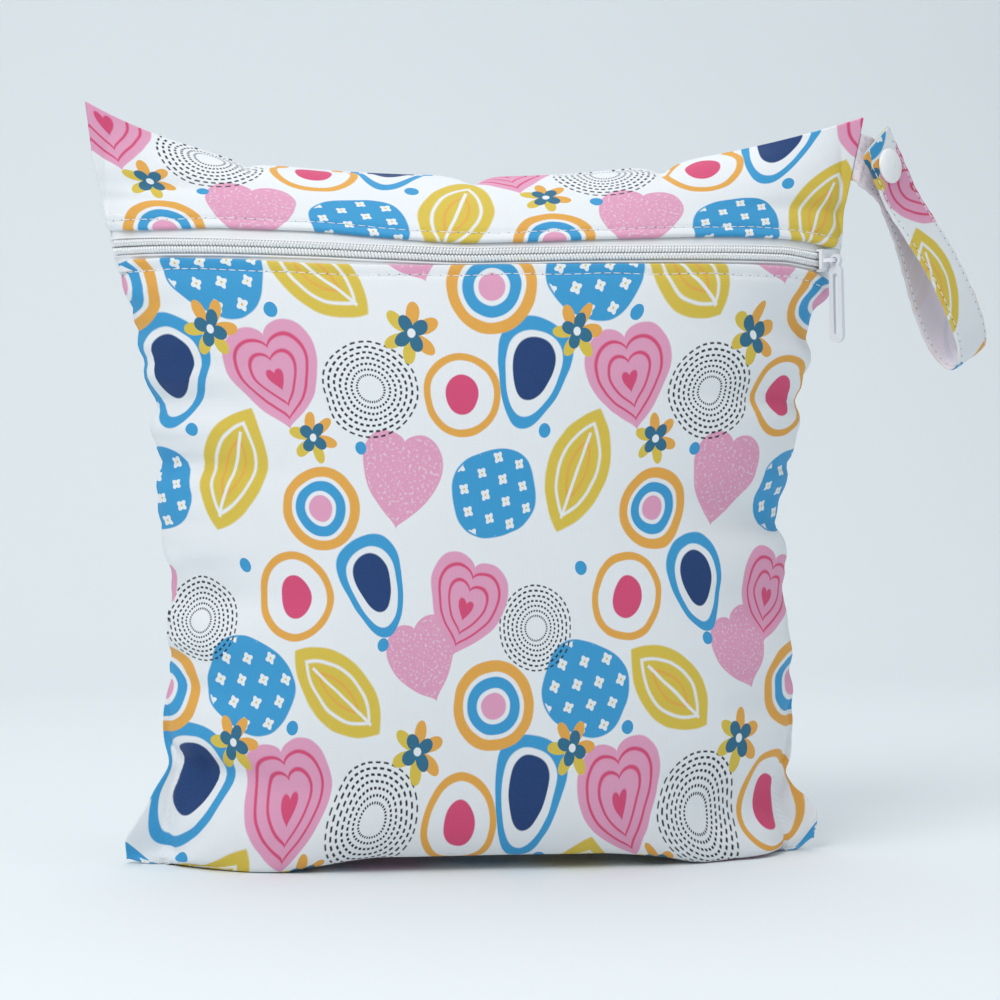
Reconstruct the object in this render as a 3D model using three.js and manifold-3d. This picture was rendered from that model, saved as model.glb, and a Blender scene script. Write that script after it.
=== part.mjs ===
// A zipped cloth pouch, filled out and standing, with a strap loop held shut by a plastic snap.
// Millimetres, +Z up, front towards -Y. The origin is on the floor under the middle of the whole piece,
// with its strap; the shapes below are worked out from the middle of the pouch's own body.
import * as THREE from 'three';
import { mergeVertices } from 'three/addons/utils/BufferGeometryUtils.js';
import Module from 'manifold-3d';

const wasm = await Module();
wasm.setup();

// Driving dimensions of the cloth body
const HEIGHT = 281; // floor to the tips of the upper corners
const TOP_WIDTH = 294; // tip to tip of the upper corners
const DEPTH = 100; // front to back inside the cloth, at the fullest
const CLOTH = 1.2; // one laminated cloth wall
const GAP = 0.3; // clearance between neighbouring pieces
const SEAM_FLANGE = 1.6; // width of the flat strip where the panels meet
const TOP_ROLL = 5; // how far the top seam leans towards the back in the middle
const TOP_ROLL_START = 0.8; // where that lean begins, as a share of the seam's height
const FOOT_ARCH = 8; // how far the bottom arches off the floor in the middle

// Driving dimensions of the zip
const ZIP_RISE = 0.803; // the zip's centre line, as a share of the seam's height
const ZIP_OPENING = 9.6; // between the two folded hems
const HEM_DEPTH = 7; // cloth folded under at each hem
const HEM_THICKNESS = 2; // two layers of cloth
const HEM_STEP = 0.05; // the thickness steps down over this share of the hem, to each side of its edge
const TAPE_THICKNESS = 0.8;
const TAPE_UNDER_HEM = 5; // how far the tape runs in under the hem
const TAPE_SPLIT = 2.8; // between the inner edges of the two tapes
const TAPE_REACH = 0.972; // where the tapes end, as a share of the way to the side seam
const COIL_WIDTH = 2.5; // one row
const COIL_HEIGHT = 1.6;
const COIL_LEFT_END = 0.985; // share of the way to the left seam

// Driving dimensions of the slider and its pull
const SLIDER_AT = 0.945; // share of the way to the right seam
const SLIDER_LENGTH = 9.6;
const SLIDER_WIDTH = 8;
const SLIDER_TAIL_WIDTH = 6.8;
const PLATE_THICKNESS = 1.2;
const SLIDER_CLEARANCE = 0.7; // over the coil and on both faces of the tape
const SLIDER_WALL = 0.9; // each side wall of the coil's track
const SLIDER_WALL_LENGTH = 0.82; // those walls, as a share of the slider's length
const WEDGE_WIDTH = 1.5;
const WEDGE_LENGTH = 3;
const BRIDGE_LENGTH = 7.4;
const BRIDGE_WINDOW = 2.6; // clear height under the bridge
const BRIDGE_BAR = 1.1;
const BRIDGE_WIDTH = 1.5;
const PULL_LENGTH = 31; // pivot to tip
const PULL_WIDTH = 5.6;
const PULL_THICKNESS = 1.7;
const PULL_HEAD_RADIUS = 2.4;
const PULL_SLOT_WIDTH = 1.9;

// Driving dimensions of the strap and its snap
const STRAP_WIDTH = 22;
const STRAP_ROOT_WIDTH = 18; // gathered a little where it is sewn in
const STRAP_THICKNESS = 1.6;
const STRAP_RISE = 0.949; // middle of the strap's root on the side seam, as a share of its height
const STRAP_DROP = 85; // snap to the fold at the far end
const STRAP_OPENING = 12; // between the two runs of the loop
const STRAP_END = 11; // free end past the snap
const STRAP_STUB = 2.5; // straight out of the seam before the strap turns back
const STRAP_LEAD = 9; // from that turn to the snap
const SNAP_CAP_DIAMETER = 13.5;
const SNAP_CAP_RIM = 0.7;
const SNAP_CAP_DOME = 1.5;
const SNAP_POST_DIAMETER = 3.2;
const SNAP_BODY_DIAMETER = 10.4; // socket and stud between the two runs
const SOCKET_THICKNESS = 1.5;
const STUD_THICKNESS = 1.1;
const SNAP_CLEARANCE = 0.6; // between the cloth and each piece of the snap

// Sections from the bottom seam up. seam: height on the side seams; middle: height on the centre line;
// left, right: the seams' reach; front, back: fullness of the two panels; start: where the fullness
// begins, counted from the middle; box and round: how square the section is; bend: how late the row
// turns up to the seams. Heights are shares of HEIGHT, reaches of half of TOP_WIDTH, fullness of half
// of DEPTH.
const SECTIONS = [
  { seam: 0.0, middle: 0.0, left: 0.9, right: 0.874, front: 0.0, back: 0.0, start: 0.9, box: 3.6, round: 0.55, bend: 14 },
  { seam: 0.02, middle: -0.007, left: 0.903, right: 0.88, front: 0.36, back: 0.36, start: 0.9, box: 3.6, round: 0.55, bend: 12 },
  { seam: 0.045, middle: -0.004, left: 0.88, right: 0.874, front: 0.56, back: 0.56, start: 0.92, box: 3.5, round: 0.56, bend: 10 },
  { seam: 0.08, middle: 0.034, left: 0.842, right: 0.825, front: 0.7, back: 0.71, start: 0.95, box: 3.3, round: 0.58, bend: 8 },
  { seam: 0.14, middle: 0.122, left: 0.812, right: 0.813, front: 0.81, back: 0.83, start: 0.98, box: 2.9, round: 0.62, bend: 5 },
  { seam: 0.25, middle: 0.238, left: 0.806, right: 0.817, front: 0.92, back: 0.94, start: 1, box: 2.5, round: 0.66, bend: 3 },
  { seam: 0.36, middle: 0.352, left: 0.802, right: 0.8, front: 0.98, back: 0.99, start: 1, box: 2.35, round: 0.68, bend: 3 },
  { seam: 0.48, middle: 0.476, left: 0.824, right: 0.797, front: 1.0, back: 1.0, start: 1, box: 2.3, round: 0.7, bend: 3 },
  { seam: 0.6, middle: 0.594, left: 0.848, right: 0.838, front: 0.99, back: 0.97, start: 1, box: 2.3, round: 0.7, bend: 3 },
  { seam: 0.7, middle: 0.69, left: 0.877, right: 0.868, front: 0.93, back: 0.9, start: 1, box: 2.35, round: 0.68, bend: 2.6 },
  { seam: 0.8, middle: 0.789, left: 0.93, right: 0.934, front: 0.79, back: 0.77, start: 1, box: 2.4, round: 0.68, bend: 2.6 },
  { seam: 0.87, middle: 0.848, left: 0.958, right: 0.95, front: 0.61, back: 0.6, start: 0.99, box: 2.2, round: 0.74, bend: 2.6 },
  { seam: 0.93, middle: 0.89, left: 0.982, right: 0.972, front: 0.4, back: 0.39, start: 0.97, box: 2.2, round: 0.78, bend: 2.5 },
  { seam: 0.97, middle: 0.909, left: 0.992, right: 0.989, front: 0.2, back: 0.2, start: 0.95, box: 2.2, round: 0.85, bend: 2.5 },
  { seam: 1.0, middle: 0.914, left: 1.0, right: 1.0, front: 0.0, back: 0.0, start: 0.93, box: 2.2, round: 0.9, bend: 2.5 },
];

// How much later (over 1) or earlier the rows turn up to the left and right seams near the top
const TOP_BEND = { left: 1.35, right: 0.78 };

// The arch under the bottom, across from the left seam to the right: lift as a share of FOOT_ARCH
const FOOT = [
  { across: -1, lift: 0.25 },
  { across: -0.93, lift: 0 },
  { across: -0.64, lift: 0 },
  { across: -0.5, lift: 0.45 },
  { across: -0.3, lift: 1 },
  { across: 0.3, lift: 1 },
  { across: 0.5, lift: 0.6 },
  { across: 0.6, lift: 0.2 },
  { across: 0.7, lift: 0 },
  { across: 0.93, lift: 0 },
  { across: 1, lift: 0.6 },
];
const FOOT_FADE = 0.15; // the arch dies out at this share of the height

// Gathers and dents. across, seam: place; wide, tall: spread; deep: share of the local fullness lost;
// pull: how far the side seam is drawn in, as a share of half of TOP_WIDTH. A face of 0 is both panels.
const DENTS = [
  { face: 0, across: -1, seam: 0.61, wide: 0.17, tall: 0.024, deep: 0.36, pull: 0.02 },
  { face: 0, across: -1, seam: 0.53, wide: 0.14, tall: 0.026, deep: 0.3, pull: 0.012 },
  { face: 0, across: -1, seam: 0.36, wide: 0.19, tall: 0.026, deep: 0.34, pull: 0.012 },
  { face: 0, across: -1, seam: 0.235, wide: 0.15, tall: 0.024, deep: 0.28, pull: 0.01 },
  { face: 0, across: -1, seam: 0.13, wide: 0.2, tall: 0.026, deep: 0.36, pull: 0.02 },
  { face: 0, across: 1, seam: 0.72, wide: 0.12, tall: 0.022, deep: 0.3, pull: 0.018 },
  { face: 0, across: 1, seam: 0.63, wide: 0.13, tall: 0.024, deep: 0.24, pull: 0.008 },
  { face: 0, across: 1, seam: 0.455, wide: 0.2, tall: 0.03, deep: 0.38, pull: 0.022 },
  { face: 0, across: 1, seam: 0.33, wide: 0.16, tall: 0.024, deep: 0.28, pull: 0.01 },
  { face: 0, across: 1, seam: 0.21, wide: 0.13, tall: 0.022, deep: 0.22, pull: 0.006 },
  { face: 0, across: 1, seam: 0.105, wide: 0.2, tall: 0.028, deep: 0.38, pull: 0.02 },
  { face: -1, across: -0.87, seam: 0.345, wide: 0.07, tall: 0.03, deep: 0.12, pull: 0 },
  { face: -1, across: 0.72, seam: 0.09, wide: 0.09, tall: 0.05, deep: 0.14, pull: 0 },
  { face: 1, across: 0.3, seam: 0.62, wide: 0.16, tall: 0.05, deep: 0.05, pull: 0 },
  { face: 1, across: -0.4, seam: 0.3, wide: 0.14, tall: 0.06, deep: 0.05, pull: 0 },
];

// Puckers of the top edge: place across, spread, and drop as a share of HEIGHT
const TOP_PUCKERS = [
  { across: -0.03, wide: 0.045, drop: 0.011 },
  { across: 0.47, wide: 0.05, drop: 0.008 },
  { across: -0.6, wide: 0.08, drop: 0.005 },
];
const PUCKER_FADE = 0.07; // share of the height under the top seam

// The strap beside the snap. Shares of STRAP_LEAD back from the snap on the sewn-in run; then along and
// aside as shares of the snap cap's radius: where the sewn-in run leaves the snap, and where the run
// that comes back lies over it.
const LEAD_BACK = [0.9, 0.62];
const PAST_SNAP = [
  { along: 0.8, aside: 0.6 },
  { along: 1.3, aside: 0.9 },
];
const OVER_SNAP = [
  { along: 1, aside: 0.15 },
  { along: -0.4, aside: -0.1 },
];
const END_ASIDE = -0.25; // how far the free end slants aside, as a share of STRAP_END

// The strap's two runs from the snap to the far fold: the run that is sewn in, then the one that comes
// back. along: down the hang, as a share of STRAP_DROP; aside: in the strap's own plane, as a share of
// STRAP_WIDTH; out: from the sewn-in run towards the other, as a share of STRAP_OPENING.
const SEWN_RUN = [
  { along: 0.2, aside: 0.36, out: -0.04 },
  { along: 0.33, aside: 0.47, out: -0.12 },
  { along: 0.52, aside: 0.52, out: -0.22 },
  { along: 0.72, aside: 0.52, out: -0.26 },
  { along: 0.88, aside: 0.52, out: -0.12 },
  { along: 0.975, aside: 0.52, out: 0.2 },
  { along: 1.0, aside: 0.52, out: 0.5 },
];
const RETURN_RUN = [
  { along: 0.975, aside: 0.52, out: 0.8 },
  { along: 0.88, aside: 0.5, out: 1.02 },
  { along: 0.7, aside: 0.45, out: 1.02 },
  { along: 0.5, aside: 0.37, out: 0.86 },
  { along: 0.32, aside: 0.24, out: 0.64 },
  { along: 0.18, aside: 0.13, out: 0.47 },
];

// Mesh density
const PANEL_COLUMNS = 34;
const LOWER_ROWS = 20;
const UPPER_ROWS = 6;
const BACK_ROWS = 23;
const STRAP_STEPS = 60;
const ROW_CROWDING = 1.3; // over 1, the lower panel's rows stand closer together near the floor
const PROBE = 0.004; // step across and up the skin that its directions are measured over

const LINEN_WHITE = 0xe9edef;
const MATERIALS = {
  cloth: { color: LINEN_WHITE, roughness: 0.72, metalness: 0 },
  tape: { color: 0xdfe3e4, roughness: 0.8, metalness: 0 },
  coil: { color: 0xeceeee, roughness: 0.45, metalness: 0 },
  slider: { color: 0xe6e9ee, roughness: 0.35, metalness: 0 },
  pull: { color: 0xd5d9e2, roughness: 0.3, metalness: 0 },
  snap: { color: 0xf2f3f3, roughness: 0.25, metalness: 0 },
};

const FRONT = -1;
const BACK = 1;
const vec = (x, y, z) => new THREE.Vector3(x, y, z);

// Value of one column of a table at a place between its rows, on a smooth curve through them
function column(table, key, name, at) {
  const last = table.length - 1;
  if (at <= table[0][key]) return table[0][name];
  if (at >= table[last][key]) return table[last][name];
  const i = table.findIndex((row) => row[key] > at) - 1;
  const slope = (a, b) => (table[b][name] - table[a][name]) / (table[b][key] - table[a][key]);
  const here = slope(i, i + 1);
  const tangent = (before, after) => (before * after <= 0 ? 0 : (2 * before * after) / (before + after));
  const m0 = i > 0 ? tangent(slope(i - 1, i), here) : here;
  const m1 = i + 1 < last ? tangent(here, slope(i + 1, i + 2)) : here;
  const span = table[i + 1][key] - table[i][key];
  const u = (at - table[i][key]) / span;
  const rise = table[i + 1][name] - table[i][name];
  return (
    table[i][name] +
    rise * u * u * (3 - 2 * u) +
    span * u * (1 - u) * (m0 * (1 - u) - m1 * u)
  );
}

const section = (name, t) => column(SECTIONS, 'seam', name, t);
const bump = (distance, spread) => Math.exp(-((distance / spread) ** 2));
const fade = (u) => (u <= 0 ? 0 : u >= 1 ? 1 : u * u * (3 - 2 * u));

// Seam line of the side, or any place across: s from -1 at the left seam to 1 at the right, t up it
function across(s, t) {
  const reach = section(s < 0 ? 'left' : 'right', t);
  const pull = DENTS.reduce(
    (sum, d) => sum + (Math.sign(d.across) === Math.sign(s) ? d.pull * bump(t - d.seam, d.tall) : 0),
    0,
  );
  return (s * (reach - pull) * TOP_WIDTH) / 2;
}

function up(s, t) {
  const middle = section('middle', t);
  const late = THREE.MathUtils.lerp(1, s < 0 ? TOP_BEND.left : TOP_BEND.right, fade(t));
  const row = THREE.MathUtils.lerp(middle, t, Math.abs(s) ** (section('bend', t) * late));
  const lift = column(FOOT, 'across', 'lift', s) * (1 - fade(t / FOOT_FADE)) * FOOT_ARCH;
  const pucker = TOP_PUCKERS.reduce((sum, p) => sum + p.drop * bump(s - p.across, p.wide), 0);
  const drop = pucker * fade((t - 1 + PUCKER_FADE) / PUCKER_FADE);
  return Math.max(0, (row - drop) * HEIGHT + lift);
}

function fullness(face, s, t) {
  const share = Math.min(1, Math.abs(s) / section('start', t));
  const bulge = Math.max(0, 1 - share ** section('box', t)) ** section('round', t);
  const kept = DENTS.reduce((product, d) => {
    const here = d.face === 0 || d.face === face;
    return here ? product * (1 - d.deep * bump(s - d.across, d.wide) * bump(t - d.seam, d.tall)) : product;
  }, 1);
  return (section(face === FRONT ? 'front' : 'back', t) * bulge * kept * DEPTH) / 2;
}

const seamPlane = (s, t) =>
  TOP_ROLL * fade((t - TOP_ROLL_START) / (1 - TOP_ROLL_START)) * (1 - s * s) ** 2;

// A point of a panel's outer face
function skin(face, s, t) {
  const out = GAP / 2 + CLOTH + fullness(face, s, t);
  return vec(across(s, t), seamPlane(s, t) + face * out, up(s, t));
}

function skinNormal(face, s, t) {
  const inside = (v, low) => THREE.MathUtils.clamp(v, low, 1);
  const alongS = skin(face, inside(s + PROBE, -1), t).sub(skin(face, inside(s - PROBE, -1), t));
  const alongT = skin(face, s, inside(t + PROBE, 0)).sub(skin(face, s, inside(t - PROBE, 0)));
  const normal = alongS.cross(alongT).normalize();
  return face === FRONT ? normal : normal.negate();
}

// Collects a closed body's faces over shared points
class Body {
  constructor() {
    this.coordinates = [];
    this.known = new Map();
    this.faces = [];
  }

  point(v) {
    const key = [v.x, v.y, v.z].map((n) => Math.round(n * 1e4)).join();
    if (!this.known.has(key)) {
      this.known.set(key, this.coordinates.length / 3);
      this.coordinates.push(v.x, v.y, v.z);
    }
    return this.known.get(key);
  }

  triangle(a, b, c) {
    if (a !== b && b !== c && c !== a) this.faces.push(a, b, c);
  }

  quad(a, b, c, d) {
    this.triangle(a, b, c);
    this.triangle(a, c, d);
  }

  geometry() {
    const geometry = new THREE.BufferGeometry();
    geometry.setAttribute('position', new THREE.Float32BufferAttribute(this.coordinates, 3));
    geometry.setIndex(this.faces);
    return geometry;
  }
}

// A wall that follows the panel's skin between two depths under it. Edges named in seams end flat on
// the plane where the front and back panels meet; the others are cut square.
function wall({ face, columns, rows, outer, inner, seams = [] }) {
  const body = new Body();
  const turned = face === BACK;
  const quad = (a, b, c, d) => (turned ? body.quad(d, c, b, a) : body.quad(a, b, c, d));
  const lastI = columns.length - 1;
  const lastJ = rows.length - 1;
  const outside = [];
  const corner = [];
  const inside = [];
  columns.forEach((s, i) => {
    outside.push([]);
    corner.push([]);
    inside.push([]);
    rows.forEach((t, j) => {
      const normal = skinNormal(face, s, t);
      const surface = skin(face, s, t);
      const onLeft = i === 0 && seams.includes('left');
      const onRight = i === lastI && seams.includes('right');
      const onLow = j === 0 && seams.includes('low');
      const onHigh = j === lastJ && seams.includes('high');
      const plane = seamPlane(s, t) + (face * GAP) / 2;
      const outerPoint = surface.clone().addScaledVector(normal, -outer(s, t));
      let cornerPoint = outerPoint;
      let innerPoint = surface.clone().addScaledVector(normal, -inner(s, t));
      if ((innerPoint.y - plane) * face < 0) innerPoint.y = plane;
      if (onLeft || onRight || onLow || onHigh) {
        cornerPoint = vec(surface.x, plane, surface.z);
        const sideways = (onLeft ? 1 : 0) - (onRight ? 1 : 0);
        const upwards = (onLow ? 1 : 0) - (onHigh ? 1 : 0);
        innerPoint = cornerPoint.clone().add(vec(sideways * SEAM_FLANGE, 0, upwards * SEAM_FLANGE));
      }
      outside[i].push(body.point(outerPoint));
      corner[i].push(body.point(cornerPoint));
      inside[i].push(body.point(innerPoint));
    });
  });
  for (let i = 0; i < lastI; i += 1) {
    for (let j = 0; j < lastJ; j += 1) {
      quad(outside[i][j], outside[i + 1][j], outside[i + 1][j + 1], outside[i][j + 1]);
      quad(inside[i][j + 1], inside[i + 1][j + 1], inside[i + 1][j], inside[i][j]);
    }
  }
  const rim = [];
  for (let i = 0; i < lastI; i += 1) rim.push([i, 0]);
  for (let j = 0; j < lastJ; j += 1) rim.push([lastI, j]);
  for (let i = lastI; i > 0; i -= 1) rim.push([i, lastJ]);
  for (let j = lastJ; j > 0; j -= 1) rim.push([0, j]);
  rim.forEach(([i, j], n) => {
    const [k, l] = rim[(n + 1) % rim.length];
    quad(outside[k][l], outside[i][j], corner[i][j], corner[k][l]);
    quad(corner[k][l], corner[i][j], inside[i][j], inside[k][l]);
  });
  return body.geometry();
}

const steps = (count, place) => Array.from({ length: count + 1 }, (_, i) => place(i / count));
// Columns stand closer together towards the side seams
const acrossTo = (left, right, count) =>
  steps(count, (u) => (Math.sin((u - 0.5) * Math.PI) * (right - left)) / 2 + (right + left) / 2);

// The zip's hems and tapes, as shares of the seam's height
const share = (length) => length / HEIGHT;
const LOWER_HEM = ZIP_RISE - share(ZIP_OPENING / 2);
const UPPER_HEM = ZIP_RISE + share(ZIP_OPENING / 2);

const hemmed = (edge) => (s, t) => (Math.abs(t - edge) < share(HEM_DEPTH) ? HEM_THICKNESS : CLOTH);
const flush = () => 0;

function lowerPanel() {
  return wall({
    face: FRONT,
    columns: acrossTo(-1, 1, PANEL_COLUMNS),
    rows: [
      ...steps(LOWER_ROWS - 2, (u) => (LOWER_HEM - share(HEM_DEPTH)) * u ** ROW_CROWDING).slice(0, -1),
      LOWER_HEM - share(HEM_DEPTH) * (1 + HEM_STEP),
      LOWER_HEM - share(HEM_DEPTH) * (1 - HEM_STEP),
      LOWER_HEM,
    ],
    outer: flush,
    inner: hemmed(LOWER_HEM),
    seams: ['left', 'right', 'low'],
  });
}

function upperPanel() {
  return wall({
    face: FRONT,
    columns: acrossTo(-1, 1, PANEL_COLUMNS),
    rows: [
      UPPER_HEM,
      UPPER_HEM + share(HEM_DEPTH) * (1 - HEM_STEP),
      ...steps(UPPER_ROWS - 2, (u) =>
        THREE.MathUtils.lerp(UPPER_HEM + share(HEM_DEPTH) * (1 + HEM_STEP), 1, u),
      ),
    ],
    outer: flush,
    inner: hemmed(UPPER_HEM),
    seams: ['left', 'right', 'high'],
  });
}

function backPanel() {
  return wall({
    face: BACK,
    columns: acrossTo(-1, 1, PANEL_COLUMNS),
    rows: steps(BACK_ROWS, (u) => (u + (1 - Math.cos(u * Math.PI)) / 2) / 2),
    outer: flush,
    inner: () => CLOTH,
    seams: ['left', 'right', 'low', 'high'],
  });
}

const TAPE_TOP = HEM_THICKNESS + GAP; // depth of the tape's outer face under the skin

function tape(side) {
  const near = ZIP_RISE + side * share(TAPE_SPLIT / 2);
  const far = ZIP_RISE + side * share(ZIP_OPENING / 2 + TAPE_UNDER_HEM);
  return wall({
    face: FRONT,
    columns: acrossTo(-TAPE_REACH, TAPE_REACH, PANEL_COLUMNS),
    rows: side < 0 ? [far, (far + near) / 2, near] : [near, (far + near) / 2, far],
    outer: () => TAPE_TOP,
    inner: () => TAPE_TOP + TAPE_THICKNESS,
  });
}

// A frame on the zip's centre line: along it to the right, up across it, and out of the cloth
function zipFrame(s) {
  const origin = skin(FRONT, s, ZIP_RISE);
  const along = skin(FRONT, Math.min(1, s + PROBE), ZIP_RISE)
    .sub(skin(FRONT, Math.max(-1, s - PROBE), ZIP_RISE))
    .normalize();
  const normal = skinNormal(FRONT, s, ZIP_RISE);
  const upward = normal.clone().cross(along).normalize();
  const out = along.clone().cross(upward).normalize();
  return { origin, along, upward, out };
}

// A solid swept through stations, each a ring of points of the same count
function swept(rings) {
  const body = new Body();
  const rows = rings.map((ring) => ring.map((p) => body.point(p)));
  const count = rows[0].length;
  for (let k = 0; k < rows.length - 1; k += 1) {
    for (let i = 0; i < count; i += 1) {
      const j = (i + 1) % count;
      body.quad(rows[k][i], rows[k][j], rows[k + 1][j], rows[k + 1][i]);
    }
  }
  const [first, last] = [rows[0], rows[rows.length - 1]];
  for (let i = 1; i < count - 1; i += 1) {
    body.triangle(first[0], first[i + 1], first[i]);
    body.triangle(last[0], last[i], last[i + 1]);
  }
  return body.geometry();
}

const COIL_BASE = -TAPE_TOP + GAP; // height of a coil row's foot over the skin
const COIL_END = SLIDER_AT; // the rows run in under the slider

// One closed row: a half-round rope on the tape
function coil(side) {
  const near = (side * GAP) / 2;
  const middle = near + (side * COIL_WIDTH) / 2;
  const profile = steps(5, (u) => {
    const angle = u * Math.PI;
    return [middle + (Math.cos(angle) * COIL_WIDTH) / 2, COIL_BASE + Math.sin(angle) ** 0.7 * COIL_HEIGHT];
  });
  const places = acrossTo(-COIL_LEFT_END, COIL_END, PANEL_COLUMNS + 6);
  return swept(
    places.map((s) => {
      const { origin, upward, out } = zipFrame(s);
      return profile.map(([b, n]) => origin.clone().addScaledVector(upward, b).addScaledVector(out, n));
    }),
  );
}

function manifoldOf(geometry) {
  const bare = geometry.clone();
  bare.deleteAttribute('normal');
  bare.deleteAttribute('uv');
  const merged = mergeVertices(bare, 1e-4);
  return new wasm.Manifold(
    new wasm.Mesh({
      numProp: 3,
      vertProperties: Float32Array.from(merged.attributes.position.array),
      triVerts: Uint32Array.from(merged.index.array),
    }),
  );
}

function geometryOf(solid) {
  const mesh = solid.getMesh();
  const geometry = new THREE.BufferGeometry();
  const coordinates = [];
  for (let i = 0; i < mesh.vertProperties.length; i += mesh.numProp) {
    coordinates.push(...mesh.vertProperties.slice(i, i + 3));
  }
  geometry.setAttribute('position', new THREE.Float32BufferAttribute(coordinates, 3));
  geometry.setIndex([...mesh.triVerts]);
  return geometry;
}

const joined = (shapes) => geometryOf(shapes.map(manifoldOf).reduce((whole, next) => whole.add(next)));
const extruded = (shape, depth, curveSegments = 6) =>
  new THREE.ExtrudeGeometry(shape, { depth, bevelEnabled: false, curveSegments });

// The slider's own axes: X along the zip, Y up across it, Z out of the cloth
const PLATE_FOOT = COIL_BASE + COIL_HEIGHT + SLIDER_CLEARANCE;
const PLATE_TOP = PLATE_FOOT + PLATE_THICKNESS;
const BRIDGE_TOP = PLATE_TOP + BRIDGE_WINDOW + BRIDGE_BAR;
const PIVOT_HEIGHT = BRIDGE_TOP - BRIDGE_BAR / 2;

function plateShape() {
  const half = SLIDER_LENGTH / 2;
  const [tail, nose] = [SLIDER_TAIL_WIDTH / 2, SLIDER_WIDTH / 2];
  const shape = new THREE.Shape();
  shape.moveTo(-half, -tail);
  shape.lineTo(half - nose / 2, -nose);
  shape.quadraticCurveTo(half, -nose, half, 0);
  shape.quadraticCurveTo(half, nose, half - nose / 2, nose);
  shape.lineTo(-half, tail);
  return shape;
}

function slider() {
  const half = SLIDER_LENGTH / 2;
  const top = extruded(plateShape(), PLATE_THICKNESS).translate(0, 0, PLATE_FOOT);
  const lowerFace = -TAPE_TOP - TAPE_THICKNESS - SLIDER_CLEARANCE;
  const bottom = extruded(plateShape(), PLATE_THICKNESS).translate(0, 0, lowerFace - PLATE_THICKNESS);
  const wedgeHeight = PLATE_FOOT - lowerFace + PLATE_THICKNESS;
  const wedge = new THREE.BoxGeometry(WEDGE_LENGTH, WEDGE_WIDTH, wedgeHeight);
  wedge.translate(half - WEDGE_LENGTH / 2 - SLIDER_WALL, 0, lowerFace + wedgeHeight / 2 - PLATE_THICKNESS / 2);
  const track = COIL_WIDTH + GAP / 2 + SLIDER_CLEARANCE;
  const wallHeight = PLATE_FOOT + TAPE_TOP - SLIDER_CLEARANCE;
  const walls = [-1, 1].map((side) =>
    new THREE.BoxGeometry(SLIDER_LENGTH * SLIDER_WALL_LENGTH, SLIDER_WALL, wallHeight + PLATE_THICKNESS / 2).translate(
      0,
      side * (track + SLIDER_WALL / 2),
      PLATE_FOOT - wallHeight / 2 + PLATE_THICKNESS / 4,
    ),
  );
  return joined([top, bottom, wedge, ...walls, bridge()]);
}

// The bail over the slider that the pull hangs on
function bridge() {
  const rise = BRIDGE_WINDOW + BRIDGE_BAR;
  const half = BRIDGE_LENGTH / 2;
  const round = BRIDGE_WINDOW * 0.6;
  const sunk = PLATE_THICKNESS / 2;
  const arch = new THREE.Shape();
  arch.moveTo(-half, -sunk);
  arch.lineTo(-half + BRIDGE_BAR, -sunk);
  arch.lineTo(-half + BRIDGE_BAR, BRIDGE_WINDOW - round / 2);
  arch.quadraticCurveTo(-half + BRIDGE_BAR, BRIDGE_WINDOW, -half + BRIDGE_BAR + round / 2, BRIDGE_WINDOW);
  arch.lineTo(half - BRIDGE_BAR - round / 2, BRIDGE_WINDOW);
  arch.quadraticCurveTo(half - BRIDGE_BAR, BRIDGE_WINDOW, half - BRIDGE_BAR, BRIDGE_WINDOW - round / 2);
  arch.lineTo(half - BRIDGE_BAR, -sunk);
  arch.lineTo(half, -sunk);
  arch.lineTo(half, rise - round);
  arch.quadraticCurveTo(half, rise, half - round, rise);
  arch.lineTo(-half + round, rise);
  arch.quadraticCurveTo(-half, rise, -half, rise - round);
  return extruded(arch, BRIDGE_WIDTH, 4)
    .translate(0, 0, -BRIDGE_WIDTH / 2)
    .rotateX(Math.PI / 2)
    .translate(0, 0, PLATE_TOP);
}

// The pull hangs straight down from the bridge's bar: local X outward, Y up, Z along the bar
function pull() {
  const half = PULL_WIDTH / 2;
  const shape = new THREE.Shape();
  shape.absarc(0, 0, PULL_HEAD_RADIUS, -0.25 * Math.PI, 1.25 * Math.PI, false);
  shape.lineTo(-half, -PULL_HEAD_RADIUS * 1.5);
  shape.lineTo(-half * 1.06, -PULL_LENGTH + half);
  shape.absarc(0, -PULL_LENGTH + half, half * 1.06, Math.PI, 2 * Math.PI, false);
  shape.lineTo(half, -PULL_HEAD_RADIUS * 1.5);
  const eye = new THREE.Path();
  eye.absarc(0, 0, Math.hypot(BRIDGE_BAR, BRIDGE_WIDTH) / 2 + GAP, 0, 2 * Math.PI, true);
  const slot = new THREE.Path();
  const slotTop = -PULL_HEAD_RADIUS - PULL_WIDTH * 0.6;
  const slotEnd = -PULL_LENGTH + PULL_WIDTH * 0.7;
  slot.absarc(0, slotTop, PULL_SLOT_WIDTH / 2, Math.PI, 0, true);
  slot.absarc(0, slotEnd, PULL_SLOT_WIDTH / 2, 0, Math.PI, true);
  shape.holes.push(eye, slot);
  return extruded(shape, PULL_THICKNESS, 8).translate(0, 0, -PULL_THICKNESS / 2);
}

// The strap's own directions: down the hanging loop, out from its sewn-in run, and across it
const HANG = vec(0.36, 0.2, -0.911).normalize();
const ACROSS_STRAP = vec(0.592, -0.804, 0.058).cross(HANG).normalize();
const STRAP_OUT = HANG.clone().cross(ACROSS_STRAP).normalize();
const LEAD_TURN = THREE.MathUtils.degToRad(45); // the sewn-in run's slant in its own plane at the snap
const RUN_APART = STRAP_THICKNESS + SOCKET_THICKNESS + STUD_THICKNESS + 2 * SNAP_CLEARANCE + GAP;

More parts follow.
